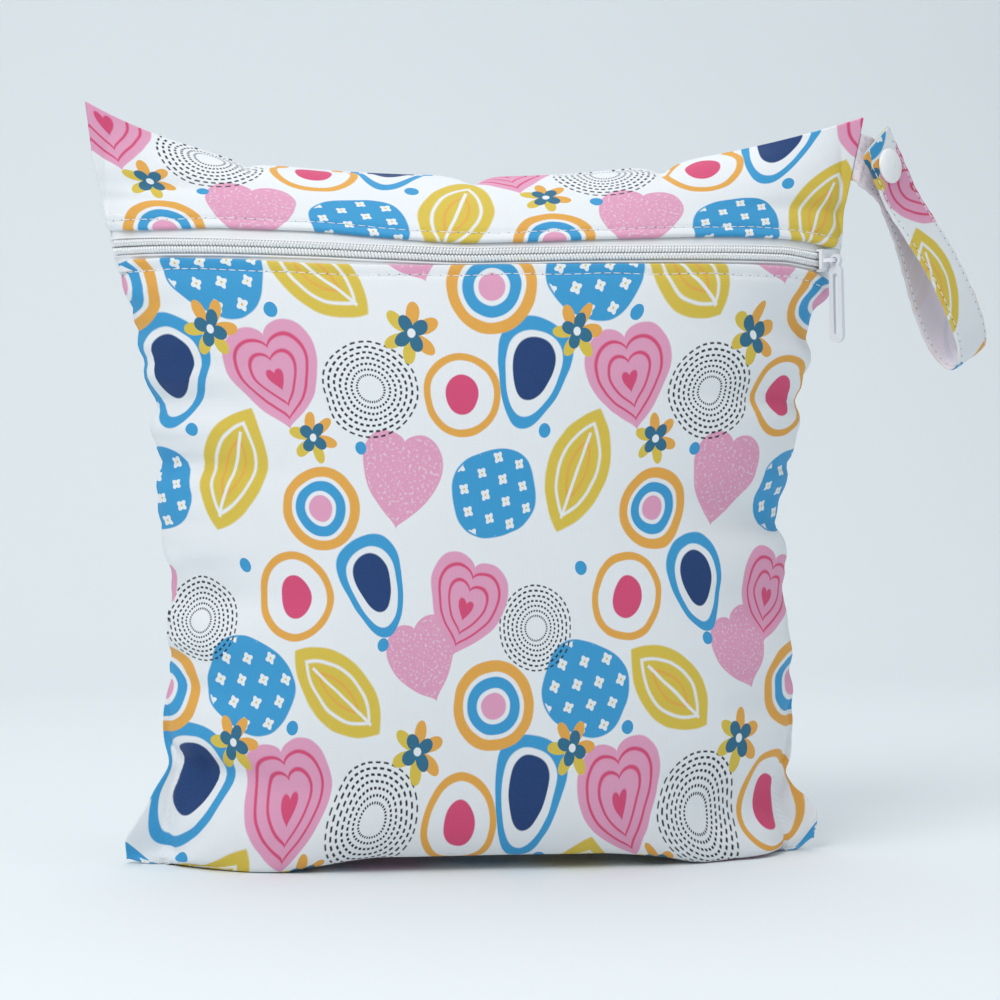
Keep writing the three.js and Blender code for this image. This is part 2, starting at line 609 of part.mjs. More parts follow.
const seamEdge = (t) => vec(across(1, t), seamPlane(1, t), up(1, t));
const EDGE = seamEdge(STRAP_RISE + share(STRAP_ROOT_WIDTH / 2))
  .sub(seamEdge(STRAP_RISE - share(STRAP_ROOT_WIDTH / 2)))
  .normalize();
const ROOT_OUT = vec(EDGE.z, 0, -EDGE.x);
const LEAD = HANG.clone()
  .multiplyScalar(Math.cos(LEAD_TURN))
  .addScaledVector(ACROSS_STRAP, Math.sin(LEAD_TURN));
const STRAP_START = seamEdge(STRAP_RISE).addScaledVector(ROOT_OUT, 2 * GAP);
const SNAP_SEAT = STRAP_START.clone()
  .addScaledVector(ROOT_OUT, STRAP_STUB)
  .addScaledVector(LEAD, STRAP_LEAD);

const loopPoint = (along, aside, out) =>
  SNAP_SEAT.clone()
    .addScaledVector(HANG, along)
    .addScaledVector(ACROSS_STRAP, aside)
    .addScaledVector(STRAP_OUT, out);

function strapBand() {
  const flat = SNAP_CAP_DIAMETER / 2;
  const nearSnap = (table, out) => table.map(({ along, aside }) => loopPoint(along * flat, aside * flat, out));
  const run = (table) =>
    table.map(({ along, aside, out }) =>
      loopPoint(along * STRAP_DROP, aside * STRAP_WIDTH, out * STRAP_OPENING),
    );
  const path = new THREE.CatmullRomCurve3(
    [
      STRAP_START,
      STRAP_START.clone().addScaledVector(ROOT_OUT, STRAP_STUB / 2),
      ...LEAD_BACK.map((back) => SNAP_SEAT.clone().addScaledVector(LEAD, -STRAP_LEAD * back)),
      SNAP_SEAT,
      ...nearSnap(PAST_SNAP, 0),
      ...run(SEWN_RUN),
      ...run(RETURN_RUN),
      ...nearSnap(OVER_SNAP, RUN_APART),
      loopPoint(-STRAP_END, STRAP_END * END_ASIDE, RUN_APART),
    ],
    false,
    'centripetal',
  );
  const turnEnd = (STRAP_STUB + STRAP_LEAD / 2) / path.getLength();
  const rings = steps(STRAP_STEPS, (u) => {
    const centre = path.getPointAt(u);
    const heading = u === 0 ? ROOT_OUT.clone() : path.getTangentAt(u);
    const turned = fade(u / turnEnd);
    const level = EDGE.clone().lerp(ACROSS_STRAP, turned);
    level.addScaledVector(heading, -level.dot(heading)).normalize();
    const thick = heading.clone().cross(level).normalize();
    const half = THREE.MathUtils.lerp(STRAP_ROOT_WIDTH, STRAP_WIDTH, turned) / 2;
    return [
      [-1, -1],
      [1, -1],
      [1, 1],
      [-1, 1],
    ].map(([a, b]) =>
      centre
        .clone()
        .addScaledVector(level, a * half)
        .addScaledVector(thick, (b * STRAP_THICKNESS) / 2),
    );
  });
  return swept(rings);
}

// A round piece of the snap, lathed about its axis from [radius, height] pairs
const lathed = (profile, sides = 16) =>
  new THREE.LatheGeometry(
    profile.map(([radius, height]) => new THREE.Vector2(radius, height)),
    sides,
  );

const SNAP_FRAME = new THREE.Matrix4().makeBasis(
  ACROSS_STRAP,
  STRAP_OUT,
  ACROSS_STRAP.clone().cross(STRAP_OUT).normalize(),
);
// Puts a turned piece on the snap's axis at a height over the middle of the sewn-in run
const onSnap = (geometry, height) =>
  geometry.applyMatrix4(SNAP_FRAME.clone().setPosition(loopPoint(0, 0, height)));

const POST = SNAP_POST_DIAMETER / 2;
const HALF_STRAP = STRAP_THICKNESS / 2;
const POST_LENGTH = STRAP_THICKNESS + 2 * SNAP_CLEARANCE + STUD_THICKNESS * 0.5;

function cap() {
  const radius = SNAP_CAP_DIAMETER / 2;
  const dome = steps(4, (u) => {
    const angle = (u * Math.PI) / 2;
    return [radius * Math.cos(angle), SNAP_CAP_RIM + SNAP_CAP_DOME * Math.sin(angle)];
  });
  dome[dome.length - 1][0] = 0;
  return [[0, -POST_LENGTH], [POST, -POST_LENGTH], [POST, 0], [radius, 0], ...dome];
}

// The socket or the stud, bored for the cap's post
function ring(thickness) {
  const radius = SNAP_BODY_DIAMETER / 2;
  const bore = POST + GAP;
  return lathed([
    [bore, 0],
    [radius, 0],
    [radius, thickness * 0.7],
    [radius * 0.82, thickness],
    [bore, thickness],
    [bore, 0],
  ]);
}

function punched(band) {
  const hole = onSnap(
    lathed([
      [0, -HALF_STRAP - 1],
      [POST + GAP, -HALF_STRAP - 1],
      [POST + GAP, RUN_APART + HALF_STRAP + 1],
      [0, RUN_APART + HALF_STRAP + 1],
    ]),
    0,
  );
  return geometryOf(manifoldOf(band).subtract(manifoldOf(hole)));
}

const pouch = new THREE.Group();

function add(name, geometry, finish, parent = pouch) {
  geometry.computeVertexNormals();
  const mesh = new THREE.Mesh(geometry, new THREE.MeshStandardMaterial(MATERIALS[finish]));
  mesh.name = name;
  parent.add(mesh);
  return mesh;
}

add('back_panel', backPanel(), 'cloth');
add('front_panel_lower', lowerPanel(), 'cloth');
add('front_panel_upper', upperPanel(), 'cloth');
add('zip_tape_lower', tape(-1), 'tape');
add('zip_tape_upper', tape(1), 'tape');
add('zip_coil_lower', coil(-1), 'coil');
add('zip_coil_upper', coil(1), 'coil');

// The slider's group sits on the zip's centre line, near the right seam
const seat = zipFrame(SLIDER_AT);
const sliderGroup = new THREE.Group();
sliderGroup.applyMatrix4(
  new THREE.Matrix4().makeBasis(seat.along, seat.upward, seat.out).setPosition(seat.origin),
);
pouch.add(sliderGroup);
add('zip_slider', slider(), 'slider', sliderGroup);

// The pull turns about the bridge's bar and hangs plumb from it
const plumb = vec(0, 0, 1).addScaledVector(seat.along, -seat.along.z).normalize();
const pullGroup = new THREE.Group();
pullGroup.applyMatrix4(
  new THREE.Matrix4()
    .makeBasis(plumb.clone().cross(seat.along).normalize(), plumb, seat.along)
    .setPosition(seat.origin.clone().addScaledVector(seat.out, PIVOT_HEIGHT)),
);
pouch.add(pullGroup);
add('zip_pull', pull(), 'pull', pullGroup);

add('strap', punched(strapBand()), 'cloth');
add('snap_cap', onSnap(lathed(cap()), RUN_APART + HALF_STRAP + SNAP_CLEARANCE), 'snap');
add('snap_socket', onSnap(ring(SOCKET_THICKNESS).rotateX(Math.PI), RUN_APART - HALF_STRAP - SNAP_CLEARANCE), 'snap');
add('snap_stud', onSnap(ring(STUD_THICKNESS), HALF_STRAP + SNAP_CLEARANCE), 'snap');
add('snap_back_cap', onSnap(lathed(cap()).rotateX(Math.PI), -HALF_STRAP - SNAP_CLEARANCE), 'snap');

// The origin goes under the middle of everything, so the body stands a little to the left of it
const whole = new THREE.Box3().setFromObject(pouch, true).getCenter(vec(0, 0, 0));
pouch.position.set(-whole.x, -whole.y, 0);

export default pouch;
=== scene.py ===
"""Dressed model of a zipped cloth pouch, filled out and standing, with a strap held by a press stud.

Lengths are metres in the part's own frame: the floor is z = 0, the front looks along -Y and the strap
is at +X. The cloth follows the same sections as the part's solids, with the finer folds added here.
"""

import logging
import math
from dataclasses import dataclass, field
from enum import Enum
from typing import Callable, NamedTuple, Sequence

import bpy
import numpy as np
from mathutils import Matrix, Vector


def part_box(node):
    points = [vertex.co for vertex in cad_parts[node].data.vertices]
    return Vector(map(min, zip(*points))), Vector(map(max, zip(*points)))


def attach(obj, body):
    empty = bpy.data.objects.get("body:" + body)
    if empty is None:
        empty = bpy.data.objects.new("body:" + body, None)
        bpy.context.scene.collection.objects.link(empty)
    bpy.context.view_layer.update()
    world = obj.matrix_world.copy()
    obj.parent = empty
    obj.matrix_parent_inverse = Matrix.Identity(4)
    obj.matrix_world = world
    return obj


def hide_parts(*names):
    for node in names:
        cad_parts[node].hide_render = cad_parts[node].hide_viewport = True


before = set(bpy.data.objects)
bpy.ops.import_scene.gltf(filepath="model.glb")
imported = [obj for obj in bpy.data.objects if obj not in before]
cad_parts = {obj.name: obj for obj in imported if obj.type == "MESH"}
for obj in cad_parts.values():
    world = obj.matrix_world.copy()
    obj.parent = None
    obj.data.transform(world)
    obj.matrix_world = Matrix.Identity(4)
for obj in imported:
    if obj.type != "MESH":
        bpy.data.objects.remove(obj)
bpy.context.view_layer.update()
LOG = logging.getLogger("pouch")

POUCH_BODY = "pouch"
PATTERN_MAP = "pattern"
Colour = tuple[float, float, float]
Triple = tuple[np.ndarray, np.ndarray, np.ndarray]
Profile = list[tuple[float, float]]


def linear(red: int, green: int, blue: int) -> Colour:
    """Turns a screen colour of 0 to 255 into the linear one that shaders use.

    Args:
        red: Red from 0 to 255.
        green: Green from 0 to 255.
        blue: Blue from 0 to 255.

    Returns:
        The linear colour.
    """
    def one(level: int) -> float:
        """Linear value of one channel."""
        share = level / 255
        return share / 12.92 if share <= 0.04045 else ((share + 0.055) / 1.055) ** 2.4

    return one(red), one(green), one(blue)


class Face(Enum):
    """Which of the pouch's two sides a panel is on, as the sign of its Y."""

    FRONT = -1
    BACK = 1


class Section(NamedTuple):
    """One level of the filled pouch; see the fields' shares in PouchForm."""

    seam: float
    middle: float
    left: float
    right: float
    front: float
    back: float
    start: float
    box: float
    round: float
    bend: float


class FootRow(NamedTuple):
    """Lift of the bottom at one place across it, as a share of the arch."""

    across: float
    lift: float


class Dent(NamedTuple):
    """A gather or dent: its panel (0 for both), place, spread, depth, and pull on the side seam."""

    face: int
    across: float
    seam: float
    wide: float
    tall: float
    deep: float
    pull: float


class Pucker(NamedTuple):
    """A dip of the top edge."""

    across: float
    wide: float
    drop: float


SECTIONS = (
    Section(0.0, 0.0, 0.9, 0.874, 0.0, 0.0, 0.9, 3.6, 0.55, 14),
    Section(0.02, -0.007, 0.903, 0.88, 0.36, 0.36, 0.9, 3.6, 0.55, 12),
    Section(0.045, -0.004, 0.88, 0.874, 0.56, 0.56, 0.92, 3.5, 0.56, 10),
    Section(0.08, 0.034, 0.842, 0.825, 0.7, 0.71, 0.95, 3.3, 0.58, 8),
    Section(0.14, 0.122, 0.812, 0.813, 0.81, 0.83, 0.98, 2.9, 0.62, 5),
    Section(0.25, 0.238, 0.806, 0.817, 0.92, 0.94, 1, 2.5, 0.66, 3),
    Section(0.36, 0.352, 0.802, 0.8, 0.98, 0.99, 1, 2.35, 0.68, 3),
    Section(0.48, 0.476, 0.824, 0.797, 1.0, 1.0, 1, 2.3, 0.7, 3),
    Section(0.6, 0.594, 0.848, 0.838, 0.99, 0.97, 1, 2.3, 0.7, 3),
    Section(0.7, 0.69, 0.877, 0.868, 0.93, 0.9, 1, 2.35, 0.68, 2.6),
    Section(0.8, 0.789, 0.93, 0.934, 0.79, 0.77, 1, 2.4, 0.68, 2.6),
    Section(0.87, 0.848, 0.958, 0.95, 0.61, 0.6, 0.99, 2.2, 0.74, 2.6),
    Section(0.93, 0.89, 0.982, 0.972, 0.4, 0.39, 0.97, 2.2, 0.78, 2.5),
    Section(0.97, 0.909, 0.992, 0.989, 0.2, 0.2, 0.95, 2.2, 0.85, 2.5),
    Section(1.0, 0.914, 1.0, 1.0, 0.0, 0.0, 0.93, 2.2, 0.9, 2.5),
)

FOOT = (
    FootRow(-1, 0.25),
    FootRow(-0.93, 0),
    FootRow(-0.64, 0),
    FootRow(-0.5, 0.45),
    FootRow(-0.3, 1),
    FootRow(0.3, 1),
    FootRow(0.5, 0.6),
    FootRow(0.6, 0.2),
    FootRow(0.7, 0),
    FootRow(0.93, 0),
    FootRow(1, 0.6),
)

DENTS = (
    Dent(0, -1, 0.61, 0.17, 0.024, 0.36, 0.02),
    Dent(0, -1, 0.53, 0.14, 0.026, 0.3, 0.012),
    Dent(0, -1, 0.36, 0.19, 0.026, 0.34, 0.012),
    Dent(0, -1, 0.235, 0.15, 0.024, 0.28, 0.01),
    Dent(0, -1, 0.13, 0.2, 0.026, 0.36, 0.02),
    Dent(0, 1, 0.72, 0.12, 0.022, 0.3, 0.018),
    Dent(0, 1, 0.63, 0.13, 0.024, 0.24, 0.008),
    Dent(0, 1, 0.455, 0.2, 0.03, 0.38, 0.022),
    Dent(0, 1, 0.33, 0.16, 0.024, 0.28, 0.01),
    Dent(0, 1, 0.21, 0.13, 0.022, 0.22, 0.006),
    Dent(0, 1, 0.105, 0.2, 0.028, 0.38, 0.02),
    Dent(-1, -0.87, 0.345, 0.07, 0.03, 0.12, 0),
    Dent(-1, 0.72, 0.09, 0.09, 0.05, 0.14, 0),
    Dent(1, 0.3, 0.62, 0.16, 0.05, 0.05, 0),
    Dent(1, -0.4, 0.3, 0.14, 0.06, 0.05, 0),
)

PUCKERS = (
    Pucker(-0.03, 0.045, 0.011),
    Pucker(0.47, 0.05, 0.008),
    Pucker(-0.6, 0.08, 0.005),
)


class ZipRow(NamedTuple):
    """How far the zip and its two hems stand above an even line at one place across, in metres."""

    across: float
    lower: float
    zip: float
    upper: float


ZIP_RUN = (
    ZipRow(-1.0, 0.0015, 0.0020, 0.0030),
    ZipRow(-0.85, 0.0030, 0.0033, 0.0052),
    ZipRow(-0.7, 0.0030, 0.0037, 0.0068),
    ZipRow(-0.49, 0.0017, 0.0032, 0.0064),
    ZipRow(-0.3, 0.0013, 0.0021, 0.0040),
    ZipRow(-0.08, 0.0015, 0.0011, 0.0017),
    ZipRow(0.09, 0.0022, 0.0018, 0.0026),
    ZipRow(0.3, 0.0026, 0.0026, 0.0041),
    ZipRow(0.62, 0.0029, 0.0030, 0.0052),
    ZipRow(0.8, 0.0024, 0.0026, 0.0042),
    ZipRow(0.9, 0.0008, 0.0008, 0.0024),
    ZipRow(0.945, -0.0006, 0.0, 0.0010),
    ZipRow(1.0, -0.0022, -0.0012, 0.0),
)


class Curves:
    """Smooth curves through the columns of a table, over its first column."""

    def __init__(self, rows: Sequence[NamedTuple]) -> None:
        """Reads the table's rows."""
        self.names = rows[0]._fields
        self.values = np.array(rows, float)

    def at(self, name: str, where: np.ndarray) -> np.ndarray:
        """Values of a column between its rows.

        Args:
            name: The column.
            where: Places on the first column's scale.

        Returns:
            One value for each place.
        """
        keys = self.values[:, 0]
        column = self.values[:, self.names.index(name)]
        slopes = np.diff(column) / np.diff(keys)
        before, after = slopes[:-1], slopes[1:]
        total = before + after
        inner = np.where(before * after <= 0, 0, 2 * before * after / np.where(total == 0, 1, total))
        tangents = np.concatenate([slopes[:1], inner, slopes[-1:]])
        place = np.clip(where, keys[0], keys[-1])
        i = np.clip(np.searchsorted(keys, place, side="right") - 1, 0, len(keys) - 2)
        span = keys[i + 1] - keys[i]
        u = (place - keys[i]) / span
        rise = column[i + 1] - column[i]
        bow = span * u * (1 - u) * (tangents[i] * (1 - u) - tangents[i + 1] * u)
        return column[i] + rise * u * u * (3 - 2 * u) + bow


def fade(share: np.ndarray) -> np.ndarray:
    """Smooth step from 0 to 1."""
    inside = np.clip(share, 0, 1)
    return inside * inside * (3 - 2 * inside)


def bump(distance: np.ndarray, spread: float) -> np.ndarray:
    """Bell curve that is 1 at distance 0."""
    return np.exp(-((distance / spread) ** 2))


def unit(vectors: np.ndarray) -> np.ndarray:
    """Vectors of length 1 along the last axis."""
    return vectors / np.maximum(np.linalg.norm(vectors, axis=-1, keepdims=True), 1e-12)


def walked(points: np.ndarray) -> np.ndarray:
    """Length walked to each point of a line."""
    return np.concatenate([[0], np.cumsum(np.linalg.norm(np.diff(points, axis=0), axis=1))])


def found_at(place: float, lengths: np.ndarray, values: np.ndarray) -> np.ndarray:
    """Vectors of a line read at a length along it.

    Args:
        place: The length along the line.
        lengths: The length walked to each of its points.
        values: A vector for each of its points.

    Returns:
        The vector at that place.
    """
    return np.array([np.interp(place, lengths, values[:, k]) for k in range(3)])


def cubic(grid: np.ndarray, along: np.ndarray, up: np.ndarray) -> np.ndarray:
    """Reads a grid between its points, on cubic curves.

    Args:
        grid: Values with two leading axes.
        along: Fractional places on the first axis.
        up: Fractional places on the second axis.

    Returns:
        The values at those places.
    """
    def split(place: np.ndarray, count: int) -> tuple[np.ndarray, list[np.ndarray]]:
        """Whole part of a place, and the weights of the four points round it."""
        whole = np.clip(np.floor(place).astype(int), 0, count - 2)
        f = place - whole
        weights = [
            -0.5 * f + f**2 - 0.5 * f**3,
            1 - 2.5 * f**2 + 1.5 * f**3,
            0.5 * f + 2 * f**2 - 1.5 * f**3,
            -0.5 * f**2 + 0.5 * f**3,
        ]
        return whole, weights

    i, wi = split(along, grid.shape[0])
    j, wj = split(up, grid.shape[1])
    total = 0
    for a in range(4):
        for b in range(4):
            row = np.clip(i + a - 1, 0, grid.shape[0] - 1)
            column = np.clip(j + b - 1, 0, grid.shape[1] - 1)
            total = total + grid[row, column] * (wi[a] * wj[b])[..., None]
    return total


@dataclass
class PouchForm:
    """The filled pouch's outer skin, worked out from the same sizes and sections as its solids."""

    height: float = 0.281
    top_width: float = 0.294
    depth: float = 0.1
    cloth: float = 0.0012
    gap: float = 0.0003
    top_roll: float = 0.005
    foot_arch: float = 0.008
    foot_fade: float = 0.15
    pucker_fade: float = 0.07
    left_bend: float = 1.35
    right_bend: float = 0.78
    zip_rise: float = 0.803
    zip_opening: float = 0.0096
    hem_depth: float = 0.007
    roll_start: float = 0.8
    probe: float = 0.004
    sections: Curves = field(default_factory=lambda: Curves(SECTIONS))
    foot: Curves = field(default_factory=lambda: Curves(FOOT))
    origin: np.ndarray = field(default_factory=lambda: np.zeros(3))

    def __post_init__(self) -> None:
        """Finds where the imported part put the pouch's own middle."""
        low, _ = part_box("back_panel")
        self.origin = np.array([low.x + self.top_width / 2, low.y - self.gap / 2, 0.0])

    def share(self, length: float) -> float:
        """A length as a share of the seam's height."""
        return length / self.height

    @property
    def lower_hem(self) -> float:
        """Place of the lower panel's folded edge, up the seam."""
        return self.zip_rise - self.share(self.zip_opening / 2)

    @property
    def upper_hem(self) -> float:
        """Place of the upper panel's folded edge, up the seam."""
        return self.zip_rise + self.share(self.zip_opening / 2)

    def across(self, s: np.ndarray, t: np.ndarray) -> np.ndarray:
        """X of a place, from s = -1 at the left seam to 1 at the right one."""
        reach = np.where(s < 0, self.sections.at("left", t), self.sections.at("right", t))
        pull = np.zeros_like(reach)
        for d in DENTS:
            pull = pull + np.where(np.sign(s) == np.sign(d.across), d.pull * bump(t - d.seam, d.tall), 0)
        return s * (reach - pull) * self.top_width / 2

    def up(self, s: np.ndarray, t: np.ndarray) -> np.ndarray:
        """Z of a place t up the seam."""
        middle = self.sections.at("middle", t)
        late = 1 + (np.where(s < 0, self.left_bend, self.right_bend) - 1) * fade(t)
        row = middle + (t - middle) * np.abs(s) ** (self.sections.at("bend", t) * late)
        lift = self.foot.at("lift", s) * (1 - fade(t / self.foot_fade)) * self.foot_arch
        pucker = sum(p.drop * bump(s - p.across, p.wide) for p in PUCKERS)
        drop = pucker * fade((t - 1 + self.pucker_fade) / self.pucker_fade)
        return np.maximum(0, (row - drop) * self.height + lift)

    def fullness(self, face: Face, s: np.ndarray, t: np.ndarray) -> np.ndarray:
        """How far a panel stands out from the plane of its seams."""
        share = np.minimum(1, np.abs(s) / self.sections.at("start", t))
        hollow = np.maximum(0, 1 - share ** self.sections.at("box", t))
        bulge = hollow ** self.sections.at("round", t)
        for d in DENTS:
            if d.face in (0, face.value):
                bulge = bulge * (1 - d.deep * bump(s - d.across, d.wide) * bump(t - d.seam, d.tall))
        side = "front" if face is Face.FRONT else "back"
        return self.sections.at(side, t) * bulge * self.depth / 2

    def seam_plane(self, s: np.ndarray, t: np.ndarray) -> np.ndarray:
        """Y of the plane where the panels meet."""
        return self.top_roll * fade((t - self.roll_start) / (1 - self.roll_start)) * (1 - s * s) ** 2

    def skin(self, face: Face, s: np.ndarray, t: np.ndarray) -> np.ndarray:
        """Points of a panel's outer face in the part's frame.

        Args:
            face: The panel's side.
            s: Places across, -1 to 1.
            t: Places up the seam, 0 to 1.

        Returns:
            Points with the places' shape and a last axis of 3.
        """
        s, t = np.broadcast_arrays(np.asarray(s, float), np.asarray(t, float))
        out = self.gap / 2 + self.cloth + self.fullness(face, s, t)
        y = self.seam_plane(s, t) + face.value * out
        return np.stack([self.across(s, t), y, self.up(s, t)], axis=-1) + self.origin

    def directions(
        self, face: Face, s: np.ndarray, t: np.ndarray, skin: Callable | None = None
    ) -> Triple:
        """Directions on a panel: to the right, up the cloth, and out of it.

        Args:
            face: The panel's side.
            s: Places across.
            t: Places up the seam.
            skin: Another skin function, or None for this form's own.

        Returns:
            Three arrays of unit vectors.
        """
        point = skin or self.skin
        step = self.probe
        s, t = np.broadcast_arrays(np.asarray(s, float), np.asarray(t, float))
        right = point(face, np.clip(s + step, -1, 1), t) - point(face, np.clip(s - step, -1, 1), t)
        upward = point(face, s, np.clip(t + step, 0, 1)) - point(face, s, np.clip(t - step, 0, 1))
        out = unit(np.cross(right, upward)) * (1 if face is Face.FRONT else -1)
        return unit(right), unit(upward), out


class CornerFold(NamedTuple):
    """A fold that runs up from a lower corner: its side, slope in degrees, length, depth and width."""

    side: int
    slope: float
    length: float
    deep: float
    wide: float


CORNER_FOLDS = (
    CornerFold(-1, 22, 0.050, 0.0016, 0.0034),
    CornerFold(-1, 47, 0.040, 0.0022, 0.0040),
    CornerFold(-1, 68, 0.058, 0.0016, 0.0046),
    CornerFold(1, 18, 0.044, 0.0018, 0.0036),
    CornerFold(1, 41, 0.052, 0.0016, 0.0040),
    CornerFold(1, 64, 0.046, 0.0022, 0.0044),
)


class Fold(NamedTuple):
    """A fine fold that runs in from a side seam."""

    side: int
    seam: float
    reach: float
    deep: float
    wide: float
    slant: float


class Held(NamedTuple):
    """How firmly the zip, feet, top edge, seams and strap hold the cloth, and how far round them."""

    zip: float
    foot: float
    top_firm: float
    top: float
    seam_firm: float
    seam: float
    strap_up: float
    strap_wide: float
    strap_tall: float


PRESS_HELD = Held(0.03, 0.035, 0.6, 0.03, 0.35, 0.03, 0.95, 0.08, 0.06)
MOVE_HELD = Held(0.045, 0.05, 0.7, 0.03, 0.0, 0.03, 0.93, 0.12, 0.09)
CLOTH_SETTINGS = dict(
    quality=8,
    mass=0.15,
    tension_stiffness=30,
    compression_stiffness=12,
    shear_stiffness=6,
    bending_stiffness=0.4,
    use_pressure=True,
    vertex_group_mass="held",
)


@dataclass
class FineCloth:
    """The cloth's real surface: the form, pressed out by simulation, with gathers and stitched grooves."""

    form: PouchForm
    columns: int = 88
    rows: int = 84
    frames: int = 20
    pressure: float = 4.0
    most_moved: float = 0.0045
    folds_each_side: int = 22
    seam_wave: float = 0.0017
    stitch_inset: float = 0.0040
    stitch_groove: float = 0.00045
    hem_reach: float = 0.032
    top_crease: float = 0.0016
    joined_depth: float = 0.008
    crease_wide: float = 0.022
    crease_from: float = 0.92
    crease_fade: float = 0.06
    soft_wave: float = 0.0006
    groove_wide: float = 0.0012
    zip_run: Curves = field(default_factory=lambda: Curves(ZIP_RUN))
    moved: dict[Face, np.ndarray] = field(default_factory=dict)
    folds: list[Fold] = field(default_factory=list)

    def __post_init__(self) -> None:
        """Draws the gathers and runs the simulation."""
        self.folds = self.draw_folds()
        still = np.zeros((self.columns + 1, self.rows + 1, 3))
        self.moved = {Face.FRONT: still, Face.BACK: still}
        self.moved = self.press_out()

    def draw_folds(self) -> list[Fold]:
        """Sets out the gathers along both side seams, unevenly but always the same."""
        chance = np.random.default_rng(11)
        found = []
        for side in (-1, 1):
            for k in range(self.folds_each_side):
                place = (k + 0.5 + chance.uniform(-0.34, 0.34)) / self.folds_each_side
                long_one = k % 3 == side % 3
                found.append(
                    Fold(
                        side,
                        0.04 + 0.93 * place,
                        chance.uniform(0.018, 0.030) * (1.8 if long_one else 0.8),
                        chance.uniform(0.0009, 0.0017) * (1.7 if long_one else 1),
                        chance.uniform(0.009, 0.014) * (1.4 if long_one else 1),
                        chance.uniform(-0.05, 0.05),
                    )
                )
        return found

    def press_out(self) -> dict[Face, np.ndarray]:
        """Presses the cloth out from inside, cut to the flat pattern of a pouch of this size.

        Returns:
            For each face, how far each point of an even grid moved.
        """
        form = self.form
        theta = np.linspace(-math.pi / 2, math.pi / 2, self.columns + 1)
        s, t = np.meshgrid(np.sin(theta), np.linspace(0, 1, self.rows + 1), indexing="ij")
        start = {face: form.skin(face, s, t) for face in Face}
        edge = np.zeros(s.shape, bool)
        edge[[0, -1], :] = True
        edge[:, [0, -1]] = True
        shared = (start[Face.FRONT] + start[Face.BACK]) / 2
        index = {face: np.zeros(s.shape, int) for face in Face}
        count = s.size
        index[Face.FRONT] = np.arange(count).reshape(s.shape)
        inner = np.cumsum(~edge.ravel()).reshape(s.shape) - 1 + count
        index[Face.BACK] = np.where(edge, index[Face.FRONT], inner)
        points = np.concatenate(
            [np.where(edge[..., None], shared, start[Face.FRONT]).reshape(-1, 3), start[Face.BACK][~edge]]
        )
        wide = walked(start[Face.FRONT][:, self.rows // 2])[-1]
        tall = walked(start[Face.FRONT][self.columns // 2])[-1]
        flat_grid = np.stack([s * wide / 2, np.zeros_like(s), t * tall], axis=-1)
        flat = np.concatenate([flat_grid.reshape(-1, 3), flat_grid[~edge]])
        hold = np.concatenate([self.held(PRESS_HELD, s, t).ravel(), self.held(PRESS_HELD, s, t, 0)[~edge]])
        faces = np.concatenate([quads_of(index[face], turned=face is Face.BACK) for face in Face])
        ended = self.pressed(points, faces, flat, hold)
        length = np.linalg.norm(ended - points, axis=1, keepdims=True)
        LOG.info("cloth pressed out: mean %.2f mm, most %.2f mm", 1000 * length.mean(), 1000 * length.max())
        cap = self.most_moved * np.tanh(length / self.most_moved) / np.maximum(length, 1e-9)
        moved = (ended - points) * cap
        free = 1 - self.held(MOVE_HELD, s, t)
        return {face: moved[index[face]] * free[..., None] for face in Face}

    def pressed(
        self, points: np.ndarray, faces: np.ndarray, flat: np.ndarray, hold: np.ndarray
    ) -> np.ndarray:
        """Runs the cloth simulation and takes its mesh away again.

        Args:
            points: Where the cloth starts.
            faces: Its quads.
            flat: Where its points lie in the flat pattern, which it is cut to.
            hold: How firmly each point is held, 0 to 1.

        Returns:
            Where the points end.
        """
        cloth = mesh_object("pressed_cloth", points, faces)
        pins = cloth.vertex_groups.new(name=CLOTH_SETTINGS["vertex_group_mass"])
        for vertex, weight in enumerate(hold):
            if weight > 0.01:
                pins.add([vertex], float(weight), "REPLACE")
        cloth.shape_key_add(name="Basis")
        pattern = cloth.shape_key_add(name="flat_pattern")
        pattern.data.foreach_set("co", flat.astype(np.float32).ravel())
        pattern.value = 0
        modifier = cloth.modifiers.new("press", "CLOTH")
        for name, value in CLOTH_SETTINGS.items():
            setattr(modifier.settings, name, value)
        modifier.settings.uniform_pressure_force = self.pressure
        modifier.settings.rest_shape_key = pattern
        modifier.settings.effector_weights.gravity = 0
        modifier.collision_settings.use_collision = False
        modifier.point_cache.frame_start = 1
        modifier.point_cache.frame_end = self.frames
        for number in range(1, self.frames + 1):
            bpy.context.scene.frame_set(number)
        mesh = cloth.evaluated_get(bpy.context.evaluated_depsgraph_get()).to_mesh()
        ended = np.zeros(len(mesh.vertices) * 3, np.float32)
        mesh.vertices.foreach_get("co", ended)
        bpy.context.scene.frame_set(1)
        bpy.data.objects.remove(cloth)
        return ended.reshape(-1, 3).astype(float)

    def held(self, how: Held, s: np.ndarray, t: np.ndarray, at_zip: float = 1.0) -> np.ndarray:
        """How firmly each place of the cloth is held.

        Args:
            how: The table of holds.
            s: Places across.
            t: Places up the seam.
            at_zip: 0 for the panel that has no zip.

        Returns:
            Shares from 0 to 1.
        """
        holds = [
            at_zip * bump(t - self.form.zip_rise, how.zip),
            bump(t, how.foot),
            how.top_firm * bump(t - 1, how.top),
            how.seam_firm * bump(np.abs(s) - 1, how.seam),
            bump(s - 1, how.strap_wide) * bump(t - how.strap_up, how.strap_tall),
        ]
        return np.clip(np.maximum.reduce(holds), 0, 1)

